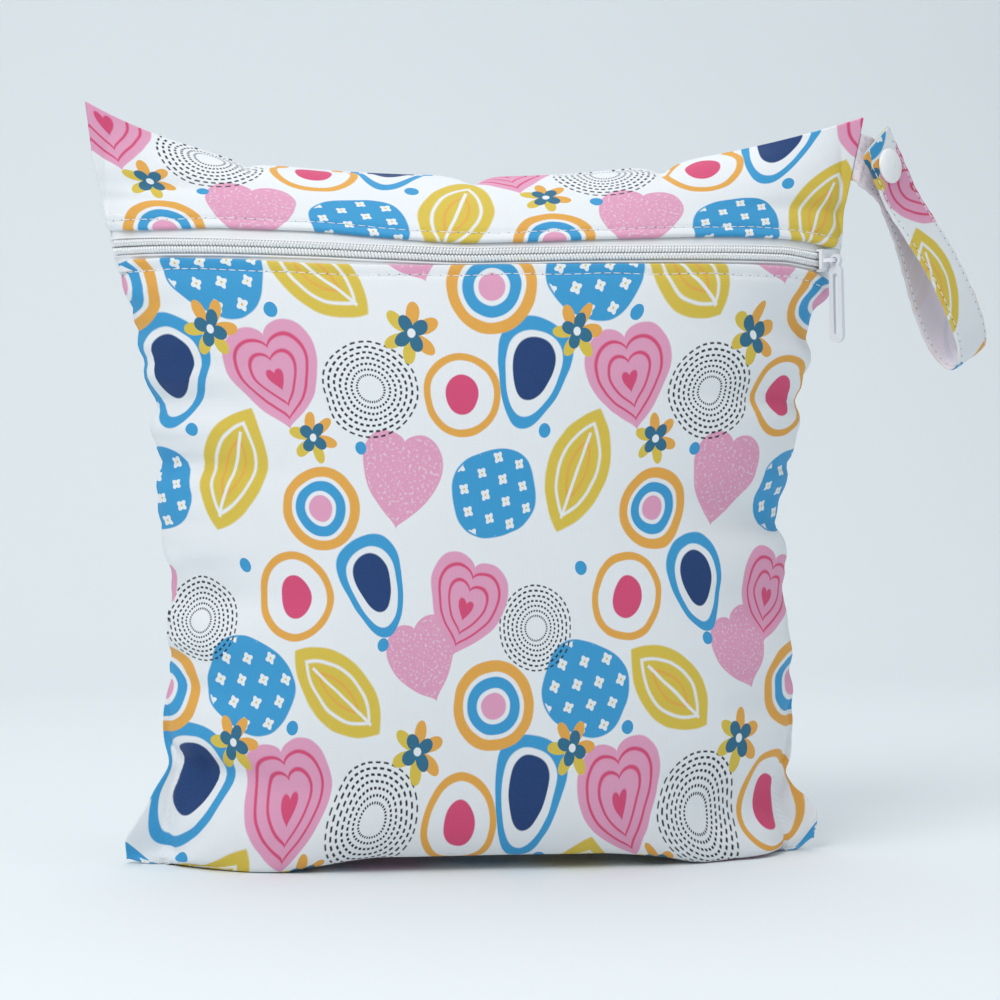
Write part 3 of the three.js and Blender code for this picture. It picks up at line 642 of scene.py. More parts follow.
    def fold_depth(self, s: np.ndarray, t: np.ndarray) -> np.ndarray:
        """How deep the fine gathers and grooves are at a place."""
        deep = np.zeros(s.shape)
        inward = (1 - np.abs(s)) * self.form.top_width / 2
        rise = t * self.form.height
        for f in self.folds:
            line = t - f.seam - f.slant * (1 - np.abs(s))
            deep += (np.sign(s) == f.side) * f.deep * bump(line, f.wide) * bump(inward, f.reach)
        for c in CORNER_FOLDS:
            turn = math.radians(c.slope)
            aside = inward * math.sin(turn) - rise * math.cos(turn)
            along = inward * math.cos(turn) + rise * math.sin(turn)
            run = bump(along - c.length * 0.45, c.length * 0.5)
            deep += (np.sign(s) == c.side) * c.deep * bump(aside, c.wide) * run
        for p in PUCKERS:
            near = fade((t - self.crease_from) / self.crease_fade)
            deep += self.top_crease * bump(s - p.across, self.crease_wide) * near
        keep = 1 - bump(t - self.form.zip_rise, 0.035)
        corner = 1 - bump(np.abs(s) - 1, 0.1) * bump(t - 0.93, 0.05)
        return deep * keep * corner

    def lifted(self, s: np.ndarray, t: np.ndarray) -> np.ndarray:
        """Place up the seam of the front cloth, once its hems follow the zip's uneven line.

        Args:
            s: Places across.
            t: Even places up the seam.

        Returns:
            The places up the seam where the cloth really is.
        """
        form = self.form
        reach = form.share(self.hem_reach)
        below = self.zip_run.at("lower", s) * fade((t - form.lower_hem + reach) / reach)
        above = self.zip_run.at("upper", s) * fade((form.upper_hem + reach - t) / reach)
        return t + np.where(t < form.zip_rise, below, above) / form.height

    def stitch_rows(self) -> tuple[float, float]:
        """Places of the two topstitched lines, up the seam."""
        inset = self.form.share(self.stitch_inset)
        return self.form.lower_hem - inset, self.form.upper_hem + inset

    def grooves(self, s: np.ndarray, t: np.ndarray) -> np.ndarray:
        """Depth of the grooves that the topstitching pulls into the hems."""
        ripple = 1 + 0.35 * np.sin(s * 151) * np.sin(s * 47 + 1)
        width = self.form.share(self.groove_wide)
        return sum(self.stitch_groove * ripple * bump(t - row, width) for row in self.stitch_rows())

    def skin(self, face: Face, s: np.ndarray, t: np.ndarray) -> np.ndarray:
        """Points of the finished cloth's outer face.

        Args:
            face: The panel's side.
            s: Places across.
            t: Places up the seam.

        Returns:
            Points in the part's frame.
        """
        s, t = np.broadcast_arrays(np.asarray(s, float), np.asarray(t, float))
        place = self.lifted(s, t) if face is Face.FRONT else t
        points = self.form.skin(face, s, place)
        _, _, out = self.form.directions(face, s, place)
        deep = self.fold_depth(s, t)
        if face is Face.FRONT:
            deep = deep + self.grooves(s, t)
        soft = self.soft_wave * np.sin(s * 9 + 2 * t + face.value) * np.sin(t * 11 + 3 * s)
        calm = (1 - bump(t - self.form.zip_rise, 0.06)) * (1 - s**8) * fade(t / 0.15) * fade((1 - t) / 0.1)
        shift = out * (soft * calm - deep)[..., None]
        if face is Face.BACK:
            shift[..., 1] *= 2 * fade(self.form.fullness(face, s, t) / self.joined_depth) - 1
        points = points + shift
        wave = np.sin(t * 71 + 2) + 0.6 * np.sin(t * 127 + s)
        side = bump(np.abs(s) - 1, 0.05) * fade(t / 0.1) * fade((0.9 - t) / 0.1)
        points[..., 1] += self.seam_wave * wave * side
        theta = np.arcsin(np.clip(s, -1, 1))
        along = (theta / math.pi + 0.5) * self.columns
        points = points + cubic(self.moved[face], along, t * self.rows)
        points[..., 2] = np.maximum(points[..., 2], 0)
        return points

    def directions(self, face: Face, s: np.ndarray, t: np.ndarray) -> Triple:
        """Directions on the finished cloth: right, up, and out."""
        return self.form.directions(face, s, t, self.skin)


def mesh_object(
    name: str, points: np.ndarray, faces: Sequence, pattern: np.ndarray | None = None
) -> bpy.types.Object:
    """Makes a smooth-shaded mesh object.

    Args:
        name: The piece's name.
        points: Its points, one a row.
        faces: Lists of point numbers.
        pattern: A flat place in the cloth's pattern for each point, or None.

    Returns:
        The object, linked into the scene.
    """
    mesh = bpy.data.meshes.new(name)
    mesh.from_pydata(np.asarray(points).reshape(-1, 3).tolist(), [], [list(f) for f in faces])
    mesh.polygons.foreach_set("use_smooth", np.ones(len(mesh.polygons), bool))
    if pattern is not None:
        layer = mesh.uv_layers.new(name=PATTERN_MAP)
        corners = np.zeros(len(mesh.loops), np.int32)
        mesh.loops.foreach_get("vertex_index", corners)
        layer.data.foreach_set("uv", np.asarray(pattern, np.float32).reshape(-1, 2)[corners].ravel())
    mesh.update()
    piece = bpy.data.objects.new(name, mesh)
    bpy.context.scene.collection.objects.link(piece)
    return piece


def quads_of(n: np.ndarray, turned: bool = False) -> np.ndarray:
    """Quads between the point numbers of a grid."""
    quads = np.stack([n[:-1, :-1], n[1:, :-1], n[1:, 1:], n[:-1, 1:]], axis=-1).reshape(-1, 4)
    return quads[:, ::-1] if turned else quads


def grid_faces(columns: int, rows: int, turned: bool = False) -> np.ndarray:
    """Quads of a grid whose points run up each column in turn."""
    return quads_of(np.arange(columns * rows).reshape(columns, rows), turned)


def thicken(piece: bpy.types.Object, thickness: float, lined: bool = False) -> None:
    """Gives a sheet its thickness, towards the side that its faces turn away from.

    Args:
        piece: The sheet.
        thickness: Its thickness.
        lined: Whether its inner side and its edges take the piece's second material.
    """
    modifier = piece.modifiers.new("thickness", "SOLIDIFY")
    modifier.thickness = thickness
    modifier.offset = -1
    modifier.use_rim = True
    modifier.material_offset = int(lined)
    modifier.material_offset_rim = int(lined)


class Parts:
    """Collects many small closed shapes into one mesh."""

    def __init__(self) -> None:
        """Starts empty."""
        self.points: list[np.ndarray] = []
        self.faces: list[list[int]] = []
        self.count = 0

    def add(self, points: np.ndarray, faces: Sequence[Sequence[int]]) -> None:
        """Adds one shape's points and faces."""
        self.points.append(points)
        self.faces.extend([[n + self.count for n in f] for f in faces])
        self.count += len(points)

    def piece(self, name: str) -> bpy.types.Object:
        """The collected shapes as one object."""
        return mesh_object(name, np.concatenate(self.points), self.faces)


def ring_faces(rings: int, sides: int, closed_ends: bool = True) -> list[list[int]]:
    """Faces of a tube of rings, each with the same number of points, and its two ends."""
    faces = [
        [k * sides + i, k * sides + (i + 1) % sides, (k + 1) * sides + (i + 1) % sides, (k + 1) * sides + i]
        for k in range(rings - 1)
        for i in range(sides)
    ]
    if closed_ends:
        faces.append([i for i in reversed(range(sides))])
        faces.append([(rings - 1) * sides + i for i in range(sides)])
    return faces


def bead(
    centre: np.ndarray,
    along: np.ndarray,
    wide: np.ndarray,
    tall: np.ndarray,
    sides: int = 6,
    rings: int = 5,
    square: float = 0.5,
) -> tuple[np.ndarray, list[list[int]]]:
    """A long rounded bead.

    Args:
        centre: Its middle.
        along: Half its length, as a vector.
        wide: Half its width, as a vector.
        tall: Half its height, as a vector.
        sides: Points round it.
        rings: Rings along it.
        square: How blunt its ends are, 0.5 for an ellipsoid and less for a blunter one.

    Returns:
        Its points and faces.
    """
    places = np.cos(np.linspace(math.pi, 0, rings + 2))
    turn = np.linspace(0, 2 * math.pi, sides, endpoint=False)
    places[0], places[-1] = -0.985, 0.985
    size = np.maximum(1 - places**2, 0) ** square
    ring = np.cos(turn)[:, None] * wide + np.sin(turn)[:, None] * tall
    points = centre + places[:, None, None] * along + size[:, None, None] * ring
    return points.reshape(-1, 3), ring_faces(rings + 2, sides)


@dataclass(frozen=True)
class Motif:
    """One placed figure of the print, in metres on the flat cloth."""

    kind: "Figure"
    x: float
    y: float
    size: float
    turn: float = 0.0


class Wire:
    """A shader value that arithmetic can be written with."""

    def __init__(self, graph: "Graph", socket: bpy.types.NodeSocket) -> None:
        """Wraps a node's output."""
        self.graph = graph
        self.socket = socket

    def __add__(self, other: "Value") -> "Wire":
        """Sum."""
        return self.graph.math("ADD", self, other)

    def __sub__(self, other: "Value") -> "Wire":
        """Difference."""
        return self.graph.math("SUBTRACT", self, other)

    def __rsub__(self, other: "Value") -> "Wire":
        """Difference from a number."""
        return self.graph.math("SUBTRACT", other, self)

    def __mul__(self, other: "Value") -> "Wire":
        """Product."""
        return self.graph.math("MULTIPLY", self, other)

    def __pow__(self, other: "Value") -> "Wire":
        """Power."""
        return self.graph.math("POWER", self, other)

    def __abs__(self) -> "Wire":
        """Size without sign."""
        return self.graph.math("ABSOLUTE", self)


Value = Wire | float


class Graph:
    """Builds a node tree from written arithmetic."""

    def __init__(self, tree: bpy.types.NodeTree) -> None:
        """Takes the tree to add nodes to."""
        self.tree = tree

    def node(self, kind: str, **settings: object) -> bpy.types.Node:
        """Adds a node with its settings."""
        node = self.tree.nodes.new(kind)
        for name, value in settings.items():
            setattr(node, name, value)
        return node

    def feed(self, socket: bpy.types.NodeSocket, value: object) -> None:
        """Links a wire to an input, or sets the input's own value."""
        if isinstance(value, Wire):
            self.tree.links.new(value.socket, socket)
        elif isinstance(value, tuple) and socket.type == "RGBA":
            socket.default_value = (*value, 1.0)
        else:
            socket.default_value = value

    def math(self, operation: str, *values: Value, clamp: bool = False) -> Wire:
        """One step of arithmetic."""
        node = self.node("ShaderNodeMath", operation=operation, use_clamp=clamp)
        for socket, value in zip(node.inputs, values):
            self.feed(socket, value)
        return Wire(self, node.outputs[0])

    def vector(self, operation: str, *values: object, scale: float | None = None) -> Wire:
        """One step of vector arithmetic."""
        node = self.node("ShaderNodeVectorMath", operation=operation)
        for socket, value in zip(node.inputs, values):
            self.feed(socket, value)
        if scale is not None:
            node.inputs["Scale"].default_value = scale
        return Wire(self, node.outputs["Value" if operation == "LENGTH" else "Vector"])

    def split(self, value: Wire) -> tuple[Wire, Wire]:
        """X and Y of a vector."""
        node = self.node("ShaderNodeSeparateXYZ")
        self.feed(node.inputs[0], value)
        return Wire(self, node.outputs[0]), Wire(self, node.outputs[1])

    def join(self, x: Value, y: Value) -> Wire:
        """A vector of X and Y."""
        node = self.node("ShaderNodeCombineXYZ")
        self.feed(node.inputs[0], x)
        self.feed(node.inputs[1], y)
        return Wire(self, node.outputs[0])

    def length(self, x: Value, y: Value) -> Wire:
        """Distance from the middle."""
        return self.vector("LENGTH", self.join(x, y))

    def inside(self, distance: Wire, edge: float, sharp: float = 40.0) -> Wire:
        """1 where a distance is under an edge, with a slightly soft border."""
        return self.math("MULTIPLY_ADD", distance, -sharp, edge * sharp + 0.5, clamp=True)

    def mix(self, share: Value, below: object, above: object, blend: str = "MIX") -> Wire:
        """Lays one colour over another."""
        node = self.node("ShaderNodeMix", data_type="RGBA", blend_type=blend)
        self.feed(node.inputs[0], share)
        self.feed(node.inputs[6], below)
        self.feed(node.inputs[7], above)
        return Wire(self, node.outputs[2])

    def noise(self, place: Wire, scale: float, detail: float = 2.0) -> Wire:
        """Even cloudy noise about 0.5."""
        node = self.node("ShaderNodeTexNoise")
        self.feed(node.inputs["Vector"], place)
        node.inputs["Scale"].default_value = scale
        node.inputs["Detail"].default_value = detail
        return Wire(self, node.outputs["Fac"])

    def pattern(self) -> Wire:
        """Place in the cloth's flat pattern."""
        return Wire(self, self.node("ShaderNodeUVMap", uv_map=PATTERN_MAP).outputs[0])

    def relief(self, shader: bpy.types.Node, height: Wire, strength: float, deep: float = 0.0002) -> None:
        """Gives a surface fine relief.

        Args:
            shader: The surface's shader.
            height: The relief's height, 0 to 1.
            strength: How strongly it shows.
            deep: Its depth in metres.
        """
        node = self.node("ShaderNodeBump")
        node.inputs["Strength"].default_value = strength
        node.inputs["Distance"].default_value = deep
        self.feed(node.inputs["Height"], height)
        self.feed(shader.inputs["Normal"], Wire(self, node.outputs[0]))


GROUND_WHITE = linear(238, 241, 243)
SKY = linear(52, 156, 210)
NAVY = linear(2, 56, 114)
TEAL = linear(36, 108, 140)
PINK = linear(230, 160, 192)
MAGENTA = linear(219, 72, 118)
MUSTARD = linear(222, 194, 70)
ORANGE = linear(234, 170, 72)
INK = linear(20, 24, 28)

Layer = tuple[Wire, object]


def ringed_round(g: Graph, x: Wire, y: Wire) -> list[Layer]:
    """Three nested rounds with pale gaps between them."""
    d = g.length(x, y * 1.06)
    return [
        (g.inside(d, 0.98), ORANGE),
        (g.inside(d, 0.74), GROUND_WHITE),
        (g.inside(d, 0.64), SKY),
        (g.inside(d, 0.4), GROUND_WHITE),
        (g.inside(d, 0.3), PINK),
    ]


def open_ring(g: Graph, x: Wire, y: Wire) -> list[Layer]:
    """A wide ring round a bold spot."""
    d = g.length(x, y)
    return [
        (g.inside(d, 0.95), ORANGE),
        (g.inside(d, 0.78), GROUND_WHITE),
        (g.inside(g.length(x * 1.05, y * 0.92), 0.42), MAGENTA),
    ]


def long_leaf(g: Graph, x: Wire, y: Wire) -> list[Layer]:
    """A broad leaf with a pale midrib and pale bands along its edge."""
    d = g.length(abs(x) + 0.62, y) * (1 / 1.18)
    band = abs(d - 0.82)
    rib = g.math("MAXIMUM", abs(x) * 1.4, abs(y + 0.1) - 0.66)
    return [
        (g.inside(d, 1.0), MUSTARD),
        (g.inside(band, 0.022), GROUND_WHITE),
        (g.inside(abs(d - 0.66), 0.016), ORANGE),
        (g.inside(rib, 0.035), GROUND_WHITE),
    ]


def flowered_pebble(g: Graph, x: Wire, y: Wire) -> list[Layer]:
    """A rounded pebble strewn with small four-petalled blossoms."""
    wide = abs(x) ** 2.6 + abs(y * 1.15) ** 2.6
    d = wide ** (1 / 2.6)
    column = g.math("FLOOR", x * 2.3)
    fx = g.math("FRACT", x * 2.3) - 0.5
    fy = g.math("FRACT", y * 2.3 + column * 0.5) - 0.5
    a = (fx + fy) * 0.707
    b = (fx - fy) * 0.707
    petal = g.math("MINIMUM", g.length(a, b * 2.1), g.length(a * 2.1, b))
    core = g.length(fx, fy)
    return [
        (g.inside(d, 0.94), SKY),
        (g.inside(petal, 0.27) * g.inside(d, 0.9), GROUND_WHITE),
        (g.inside(core, 0.05) * g.inside(d, 0.9), MUSTARD),
    ]


def dashed_round(g: Graph, x: Wire, y: Wire) -> list[Layer]:
    """A round filled with short ink dashes that bend round its middle."""
    d = g.length(x, y * 1.05)
    rows = d * 9.0
    turn = g.math("ARCTAN2", y, x) * (34 / (2 * math.pi))
    shifted = turn + g.math("FLOOR", rows) * 0.43
    across = abs(g.math("FRACT", rows) - 0.5)
    along = abs(g.math("FRACT", shifted) - 0.5)
    dash = g.inside(across, 0.2, 8.0) * g.inside(along, 0.3, 8.0)
    ring = g.inside(d, 0.96) * (1 - g.inside(d, 0.2))
    return [(dash * ring, INK)]


def heart(g: Graph, x: Wire, y: Wire) -> tuple[Wire, Wire]:
    """Distance of a plump heart, and its speckle."""
    side = abs(x)
    lifted = y * 1.1 - side ** 0.6 * 0.5 + 0.16
    return g.length(side * 1.05, lifted), g.noise(g.join(x, y), 17.0, 3.0)


def plain_heart(g: Graph, x: Wire, y: Wire) -> list[Layer]:
    """A speckled heart."""
    d, speckle = heart(g, x, y)
    pale = (*(0.5 * c + 0.5 * w for c, w in zip(PINK, GROUND_WHITE)),)
    return [(g.inside(d, 0.82), PINK), (g.inside(d, 0.78) * g.inside(speckle, 0.4, 12.0), pale)]


def lined_heart(g: Graph, x: Wire, y: Wire) -> list[Layer]:
    """A heart with bold lines inside it."""
    d, _ = heart(g, x, y)
    return [
        (g.inside(d, 0.86), PINK),
        (g.inside(abs(d - 0.66), 0.028), MAGENTA),
        (g.inside(abs(d - 0.42), 0.028), MAGENTA),
        (g.inside(d, 0.16), MAGENTA),
    ]


def petals(g: Graph, x: Wire, y: Wire, count: float, pinch: float, turn: float = 0.0) -> Wire:
    """Distance of a figure with petals or points."""
    angle = g.math("ARCTAN2", y, x) * (count / 2) + turn
    wave = abs(g.math("COSINE", angle))
    return g.length(x, y) * g.math("DIVIDE", 1.0, wave * (1 - pinch) + pinch)


def blossom(g: Graph, x: Wire, y: Wire) -> list[Layer]:
    """A four-petalled flower on pointed leaves."""
    leaves = petals(g, x, y, 6, 0.28, 0.4)
    bloom = petals(g, x, y, 4, 0.4)
    return [
        (g.inside(leaves, 0.98), MUSTARD),
        (g.inside(leaves, 0.98) * g.inside(x * -1.0, 0.0), ORANGE),
        (g.inside(bloom, 0.62), TEAL),
        (g.inside(g.length(x, y), 0.14), GROUND_WHITE),
    ]


def drop(g: Graph, x: Wire, y: Wire) -> list[Layer]:
    """A hanging drop in two blues."""
    narrow = x * (y * 0.62 + 1.5)
    d = g.length(narrow, y)
    return [
        (g.inside(d, 0.97), SKY),
        (g.inside(d, 0.76), GROUND_WHITE),
        (g.inside(g.length(narrow, y + 0.1), 0.55), NAVY),
    ]


def spot(g: Graph, x: Wire, y: Wire) -> list[Layer]:
    """A small round spot."""
    return [(g.inside(g.length(x, y), 0.9), SKY)]


class Figure(Enum):
    """The figures of the print, each with the function that draws it."""

    RINGED_ROUND = (ringed_round,)
    OPEN_RING = (open_ring,)
    LONG_LEAF = (long_leaf,)
    FLOWERED_PEBBLE = (flowered_pebble,)
    DASHED_ROUND = (dashed_round,)
    PLAIN_HEART = (plain_heart,)
    LINED_HEART = (lined_heart,)
    BLOSSOM = (blossom,)
    DROP = (drop,)
    SPOT = (spot,)

    def tree(self) -> bpy.types.NodeTree:
        """The figure's node group, made once."""
        name = self.name.lower()
        found = bpy.data.node_groups.get(name)
        if found:
            return found
        tree = bpy.data.node_groups.new(name, "ShaderNodeTree")
        tree.interface.new_socket("Place", in_out="INPUT", socket_type="NodeSocketVector")
        tree.interface.new_socket("Below", in_out="INPUT", socket_type="NodeSocketColor")
        tree.interface.new_socket("Colour", in_out="OUTPUT", socket_type="NodeSocketColor")
        g = Graph(tree)
        entry = g.node("NodeGroupInput")
        x, y = g.split(Wire(g, entry.outputs[0]))
        colour = Wire(g, entry.outputs[1])
        for share, over in self.value[0](g, x, y):
            colour = g.mix(share, colour, over)
        g.feed(g.node("NodeGroupOutput").inputs[0], colour)
        return tree


REPEAT = (0.152, 0.158)
PRINT = (
    Motif(Figure.FLOWERED_PEBBLE, 0.018, 0.020, 0.0170, 0.2),
    Motif(Figure.LONG_LEAF, 0.056, 0.029, 0.0215, -0.35),
    Motif(Figure.RINGED_ROUND, 0.094, 0.014, 0.0145),
    Motif(Figure.PLAIN_HEART, 0.129, 0.026, 0.0190, -0.15),
    Motif(Figure.DROP, 0.034, 0.066, 0.0195, 2.9),
    Motif(Figure.LINED_HEART, 0.078, 0.066, 0.0205, 0.2),
    Motif(Figure.DASHED_ROUND, 0.117, 0.060, 0.0180),
    Motif(Figure.OPEN_RING, 0.004, 0.058, 0.0150),
    Motif(Figure.BLOSSOM, 0.136, 0.082, 0.0105, 0.5),
    Motif(Figure.RINGED_ROUND, 0.018, 0.099, 0.0160),
    Motif(Figure.FLOWERED_PEBBLE, 0.060, 0.105, 0.0180, -0.4),
    Motif(Figure.LONG_LEAF, 0.100, 0.104, 0.0205, 0.9),
    Motif(Figure.PLAIN_HEART, 0.138, 0.117, 0.0165, 0.35),
    Motif(Figure.DASHED_ROUND, 0.037, 0.128, 0.0150),
    Motif(Figure.LINED_HEART, 0.005, 0.137, 0.0185, -0.3),
    Motif(Figure.OPEN_RING, 0.080, 0.139, 0.0150),
    Motif(Figure.DROP, 0.116, 0.143, 0.0170, 3.5),
    Motif(Figure.BLOSSOM, 0.054, 0.083, 0.0095, 1.2),
    Motif(Figure.BLOSSOM, 0.092, 0.041, 0.0090, 0.9),
    Motif(Figure.SPOT, 0.040, 0.044, 0.0026),
    Motif(Figure.SPOT, 0.112, 0.037, 0.0024),
    Motif(Figure.SPOT, 0.080, 0.090, 0.0026),
    Motif(Figure.SPOT, 0.120, 0.122, 0.0024),
    Motif(Figure.SPOT, 0.058, 0.150, 0.0026),
)


@dataclass(frozen=True)
class Finish:
    """A plain surface: its colour and the shader settings that are the same all over it."""

    name: str
    colour: Colour
    roughness: float
    sheen: float = 0.0
    specular: float = 0.5
    coat: float = 0.0
    transmission: float = 0.0
    translucency: float = 0.0
    mottle: float = 0.03
    grain: float = 0.0
    grain_scale: float = 900.0

    def material(self) -> bpy.types.Material:
        """The finish as a material, made once."""
        found = bpy.data.materials.get(self.name)
        if found:
            return found
        material = bpy.data.materials.new(self.name)
        material.use_nodes = True
        g = Graph(material.node_tree)
        shader = material.node_tree.nodes["Principled BSDF"]
        self.set_sockets(shader)
        place = Wire(g, g.node("ShaderNodeTexCoord").outputs["Object"])
        self.dress(g, shader, place)
        return material

    def set_sockets(self, shader: bpy.types.Node) -> None:
        """Sets what is the same all over the surface."""
        values = {
            "Sheen Weight": self.sheen,
            "Sheen Roughness": 0.4,
            "Specular IOR Level": self.specular,
            "Coat Weight": self.coat,
            "Coat Roughness": 0.15,
            "Transmission Weight": self.transmission,
            "Subsurface Weight": self.translucency,
            "Subsurface Radius": (1.0, 1.0, 1.0),
            "Subsurface Scale": 0.002,
        }
        for name, value in values.items():
            shader.inputs[name].default_value = value

    def dress(self, g: Graph, shader: bpy.types.Node, place: Wire) -> None:
        """Adds the colour's unevenness, the wear of the gloss and the grain."""
        cloud = g.noise(place, 60.0)
        darker = tuple(c * (1 - 2 * self.mottle) for c in self.colour)
        g.feed(shader.inputs["Base Color"], g.mix(cloud, self.colour, darker))
        g.feed(shader.inputs["Roughness"], cloud * 0.12 + (self.roughness - 0.06))
        if self.grain:
            g.relief(shader, g.noise(place, self.grain_scale, 3.0), self.grain)


@dataclass(frozen=True)
class PrintedCloth(Finish):
    """White knitted cloth with the bright print, fine ribs and a soft sheen."""

    rib: float = 0.00062
    course: float = 0.00052
    shift: tuple[float, float] = (0.0, 0.0)
    spread: float = 1.17
    strength: float = 1.0
    wobble: float = 0.0016
    wobble_scale: float = 75.0

    def dress(self, g: Graph, shader: bpy.types.Node, place: Wire) -> None:
        """Lays every figure of the print on the white ground, and adds the knit, with painted shade in its
        grooves.
        """
        flat = g.pattern()
        wobble = g.node("ShaderNodeTexNoise")
        wobble.inputs["Scale"].default_value = self.wobble_scale
        wobble.inputs["Detail"].default_value = 1.0
        g.feed(wobble.inputs["Vector"], flat)
        centred = g.vector("SUBTRACT", Wire(g, wobble.outputs["Color"]), (0.5, 0.5, 0.5))
        drawn = g.vector("ADD", flat, g.vector("SCALE", centred, scale=self.wobble))
        moved = g.vector("ADD", drawn, (*self.shift, 0.0))
        colour: object = self.colour
        for motif in PRINT:
            colour = self.laid(g, moved, motif, colour)
        ribs = self.waves(g, flat, 0, self.rib)
        courses = self.waves(g, flat, 1, self.course)
        grain = g.noise(flat, 2600.0, 2.0)
        knit = ribs * 0.55 + courses * 0.3 + grain * 0.5
        printed = g.mix(g.noise(flat, 1500.0, 3.0) * 0.04, colour, GROUND_WHITE)
        inked = g.mix(self.strength, self.colour, printed)
        # Darkened along the knit: painted shade in the grooves between its ribs and courses, with fine
        # grain and a slow cloud of tone that differs at random.
        shade = g.mix(knit * 0.3 + g.noise(flat, 30.0) * 0.1, inked, (0.62, 0.66, 0.7), "MULTIPLY")
        g.feed(shader.inputs["Base Color"], shade)
        g.feed(shader.inputs["Roughness"], knit * 0.15 + (self.roughness - 0.08))
        g.relief(shader, knit, self.grain, 0.00018)

    def laid(self, g: Graph, flat: Wire, motif: Motif, below: object) -> Wire:
        """Lays one figure, repeated over the whole cloth, on what is below it."""
        half = (REPEAT[0] / 2, REPEAT[1] / 2, 0.0)
        low = tuple(-h for h in half)
        near = g.vector("WRAP", g.vector("SUBTRACT", flat, (motif.x, motif.y, 0.0)), half, low)
        turned = g.node("ShaderNodeMapping", vector_type="POINT")
        g.feed(turned.inputs["Vector"], near)
        turned.inputs["Rotation"].default_value = (0, 0, -motif.turn)
        turned.inputs["Scale"].default_value = (1 / (motif.size * self.spread),) * 3
        figure = g.node("ShaderNodeGroup", node_tree=motif.kind.tree())
        g.feed(figure.inputs[0], Wire(g, turned.outputs[0]))
        g.feed(figure.inputs[1], below)
        return Wire(g, figure.outputs[0])

    def waves(self, g: Graph, flat: Wire, axis: int, pitch: float) -> Wire:
        """Fine even ridges along one direction of the cloth, from 0 to 1."""
        value = g.split(flat)[axis]
        return g.math("COSINE", value * (2 * math.pi / pitch)) * 0.5 + 0.5


@dataclass(frozen=True)
class WovenTape(Finish):
    """Fine twill of a zip's tape, with painted shade in the hollows of the weave."""

    pitch: float = 0.0009
    # share of the colour kept in the weave's hollows: painted shade
    hollow: float = 0.66

    def dress(self, g: Graph, shader: bpy.types.Node, place: Wire) -> None:
        """Adds the twill's slanting ribs, with painted shade in the hollows between them."""
        x, y = g.split(g.pattern())
        turns = 2 * math.pi / self.pitch
        one = g.math("SINE", (x + y) * turns)
        other = g.math("SINE", (x - y) * turns)
        weave = g.math("MAXIMUM", one, other) * 0.5 + 0.5
        # the hollows between the twill's ribs are darkened: painted shade
        hollow = tuple(self.hollow * c for c in self.colour)
        g.feed(shader.inputs["Base Color"], g.mix(weave, hollow, self.colour))
        g.feed(shader.inputs["Roughness"], weave * -0.1 + self.roughness)
        g.relief(shader, weave, self.grain)


CLOTH_FINISH = dict(colour=GROUND_WHITE, roughness=0.62, sheen=0.05, specular=0.22, grain=0.35)
FRONT_CLOTH = PrintedCloth("front_cloth", shift=(0.02, 0.03), **CLOTH_FINISH)
UPPER_CLOTH = PrintedCloth("upper_cloth", shift=(0.07, 0.085), **CLOTH_FINISH)
BACK_CLOTH = PrintedCloth("back_cloth", shift=(0.11, 0.05), **CLOTH_FINISH)
STRAP_CLOTH = PrintedCloth("strap_cloth", shift=(0.087, 0.046), **CLOTH_FINISH)
STRAP_LINING = PrintedCloth(
    "strap_lining",
    linear(238, 230, 236),
    0.7,
    sheen=0.1,
    specular=0.3,
    grain=0.4,
    shift=(0.087, 0.046),
    strength=0.14,
)
PANEL_INSIDE = Finish("panel_inside", linear(232, 236, 239), 0.35, mottle=0.01, specular=0.3)
TAPE = WovenTape("zip_tape", linear(226, 230, 232), 0.75, sheen=0.2, grain=0.6)
NYLON = Finish("nylon_coil", linear(238, 241, 242), 0.38, mottle=0.02, translucency=0.2)
NEEDLE_SHADE = Finish("needle_shade", linear(120, 126, 134), 0.8, specular=0.1)
THREAD = Finish("white_thread", linear(240, 241, 243), 0.6, sheen=0.3, grain=0.3, grain_scale=3000.0)
SLIDER_PLASTIC = Finish(
    "slider_plastic", linear(226, 231, 240), 0.3, coat=0.3, transmission=0.25, translucency=0.4
)
PULL_PLASTIC = Finish(
    "pull_plastic", linear(205, 211, 226), 0.24, coat=0.4, transmission=0.45, translucency=0.3
)
SNAP_PLASTIC = Finish(
    "snap_plastic",
    linear(242, 244, 244),
    0.22,
    coat=0.4,
    translucency=0.2,
    mottle=0.01,
    grain=0.05,
    grain_scale=200.0,
)
# size of the dark beads of painted shade at the needle holes
NEEDLE_HOLE = 0.0003
STITCH_UNEVEN = 0.0001
STITCH_PROUD = 0.55


def finish_piece(piece: bpy.types.Object, finish: Finish, node: str = "") -> None:
    """Gives a piece its material and its slot, and lets it ride on the pouch.

    Args:
        piece: The piece.
        finish: Its finish.
        node: The node of the part that it takes the place of, if any.
    """
    if node:
        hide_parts(node)
    piece.data.materials.clear()
    piece.data.materials.append(finish.material())
    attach(piece, POUCH_BODY)
    LOG.info("%s: %d points", piece.name, len(piece.data.vertices))


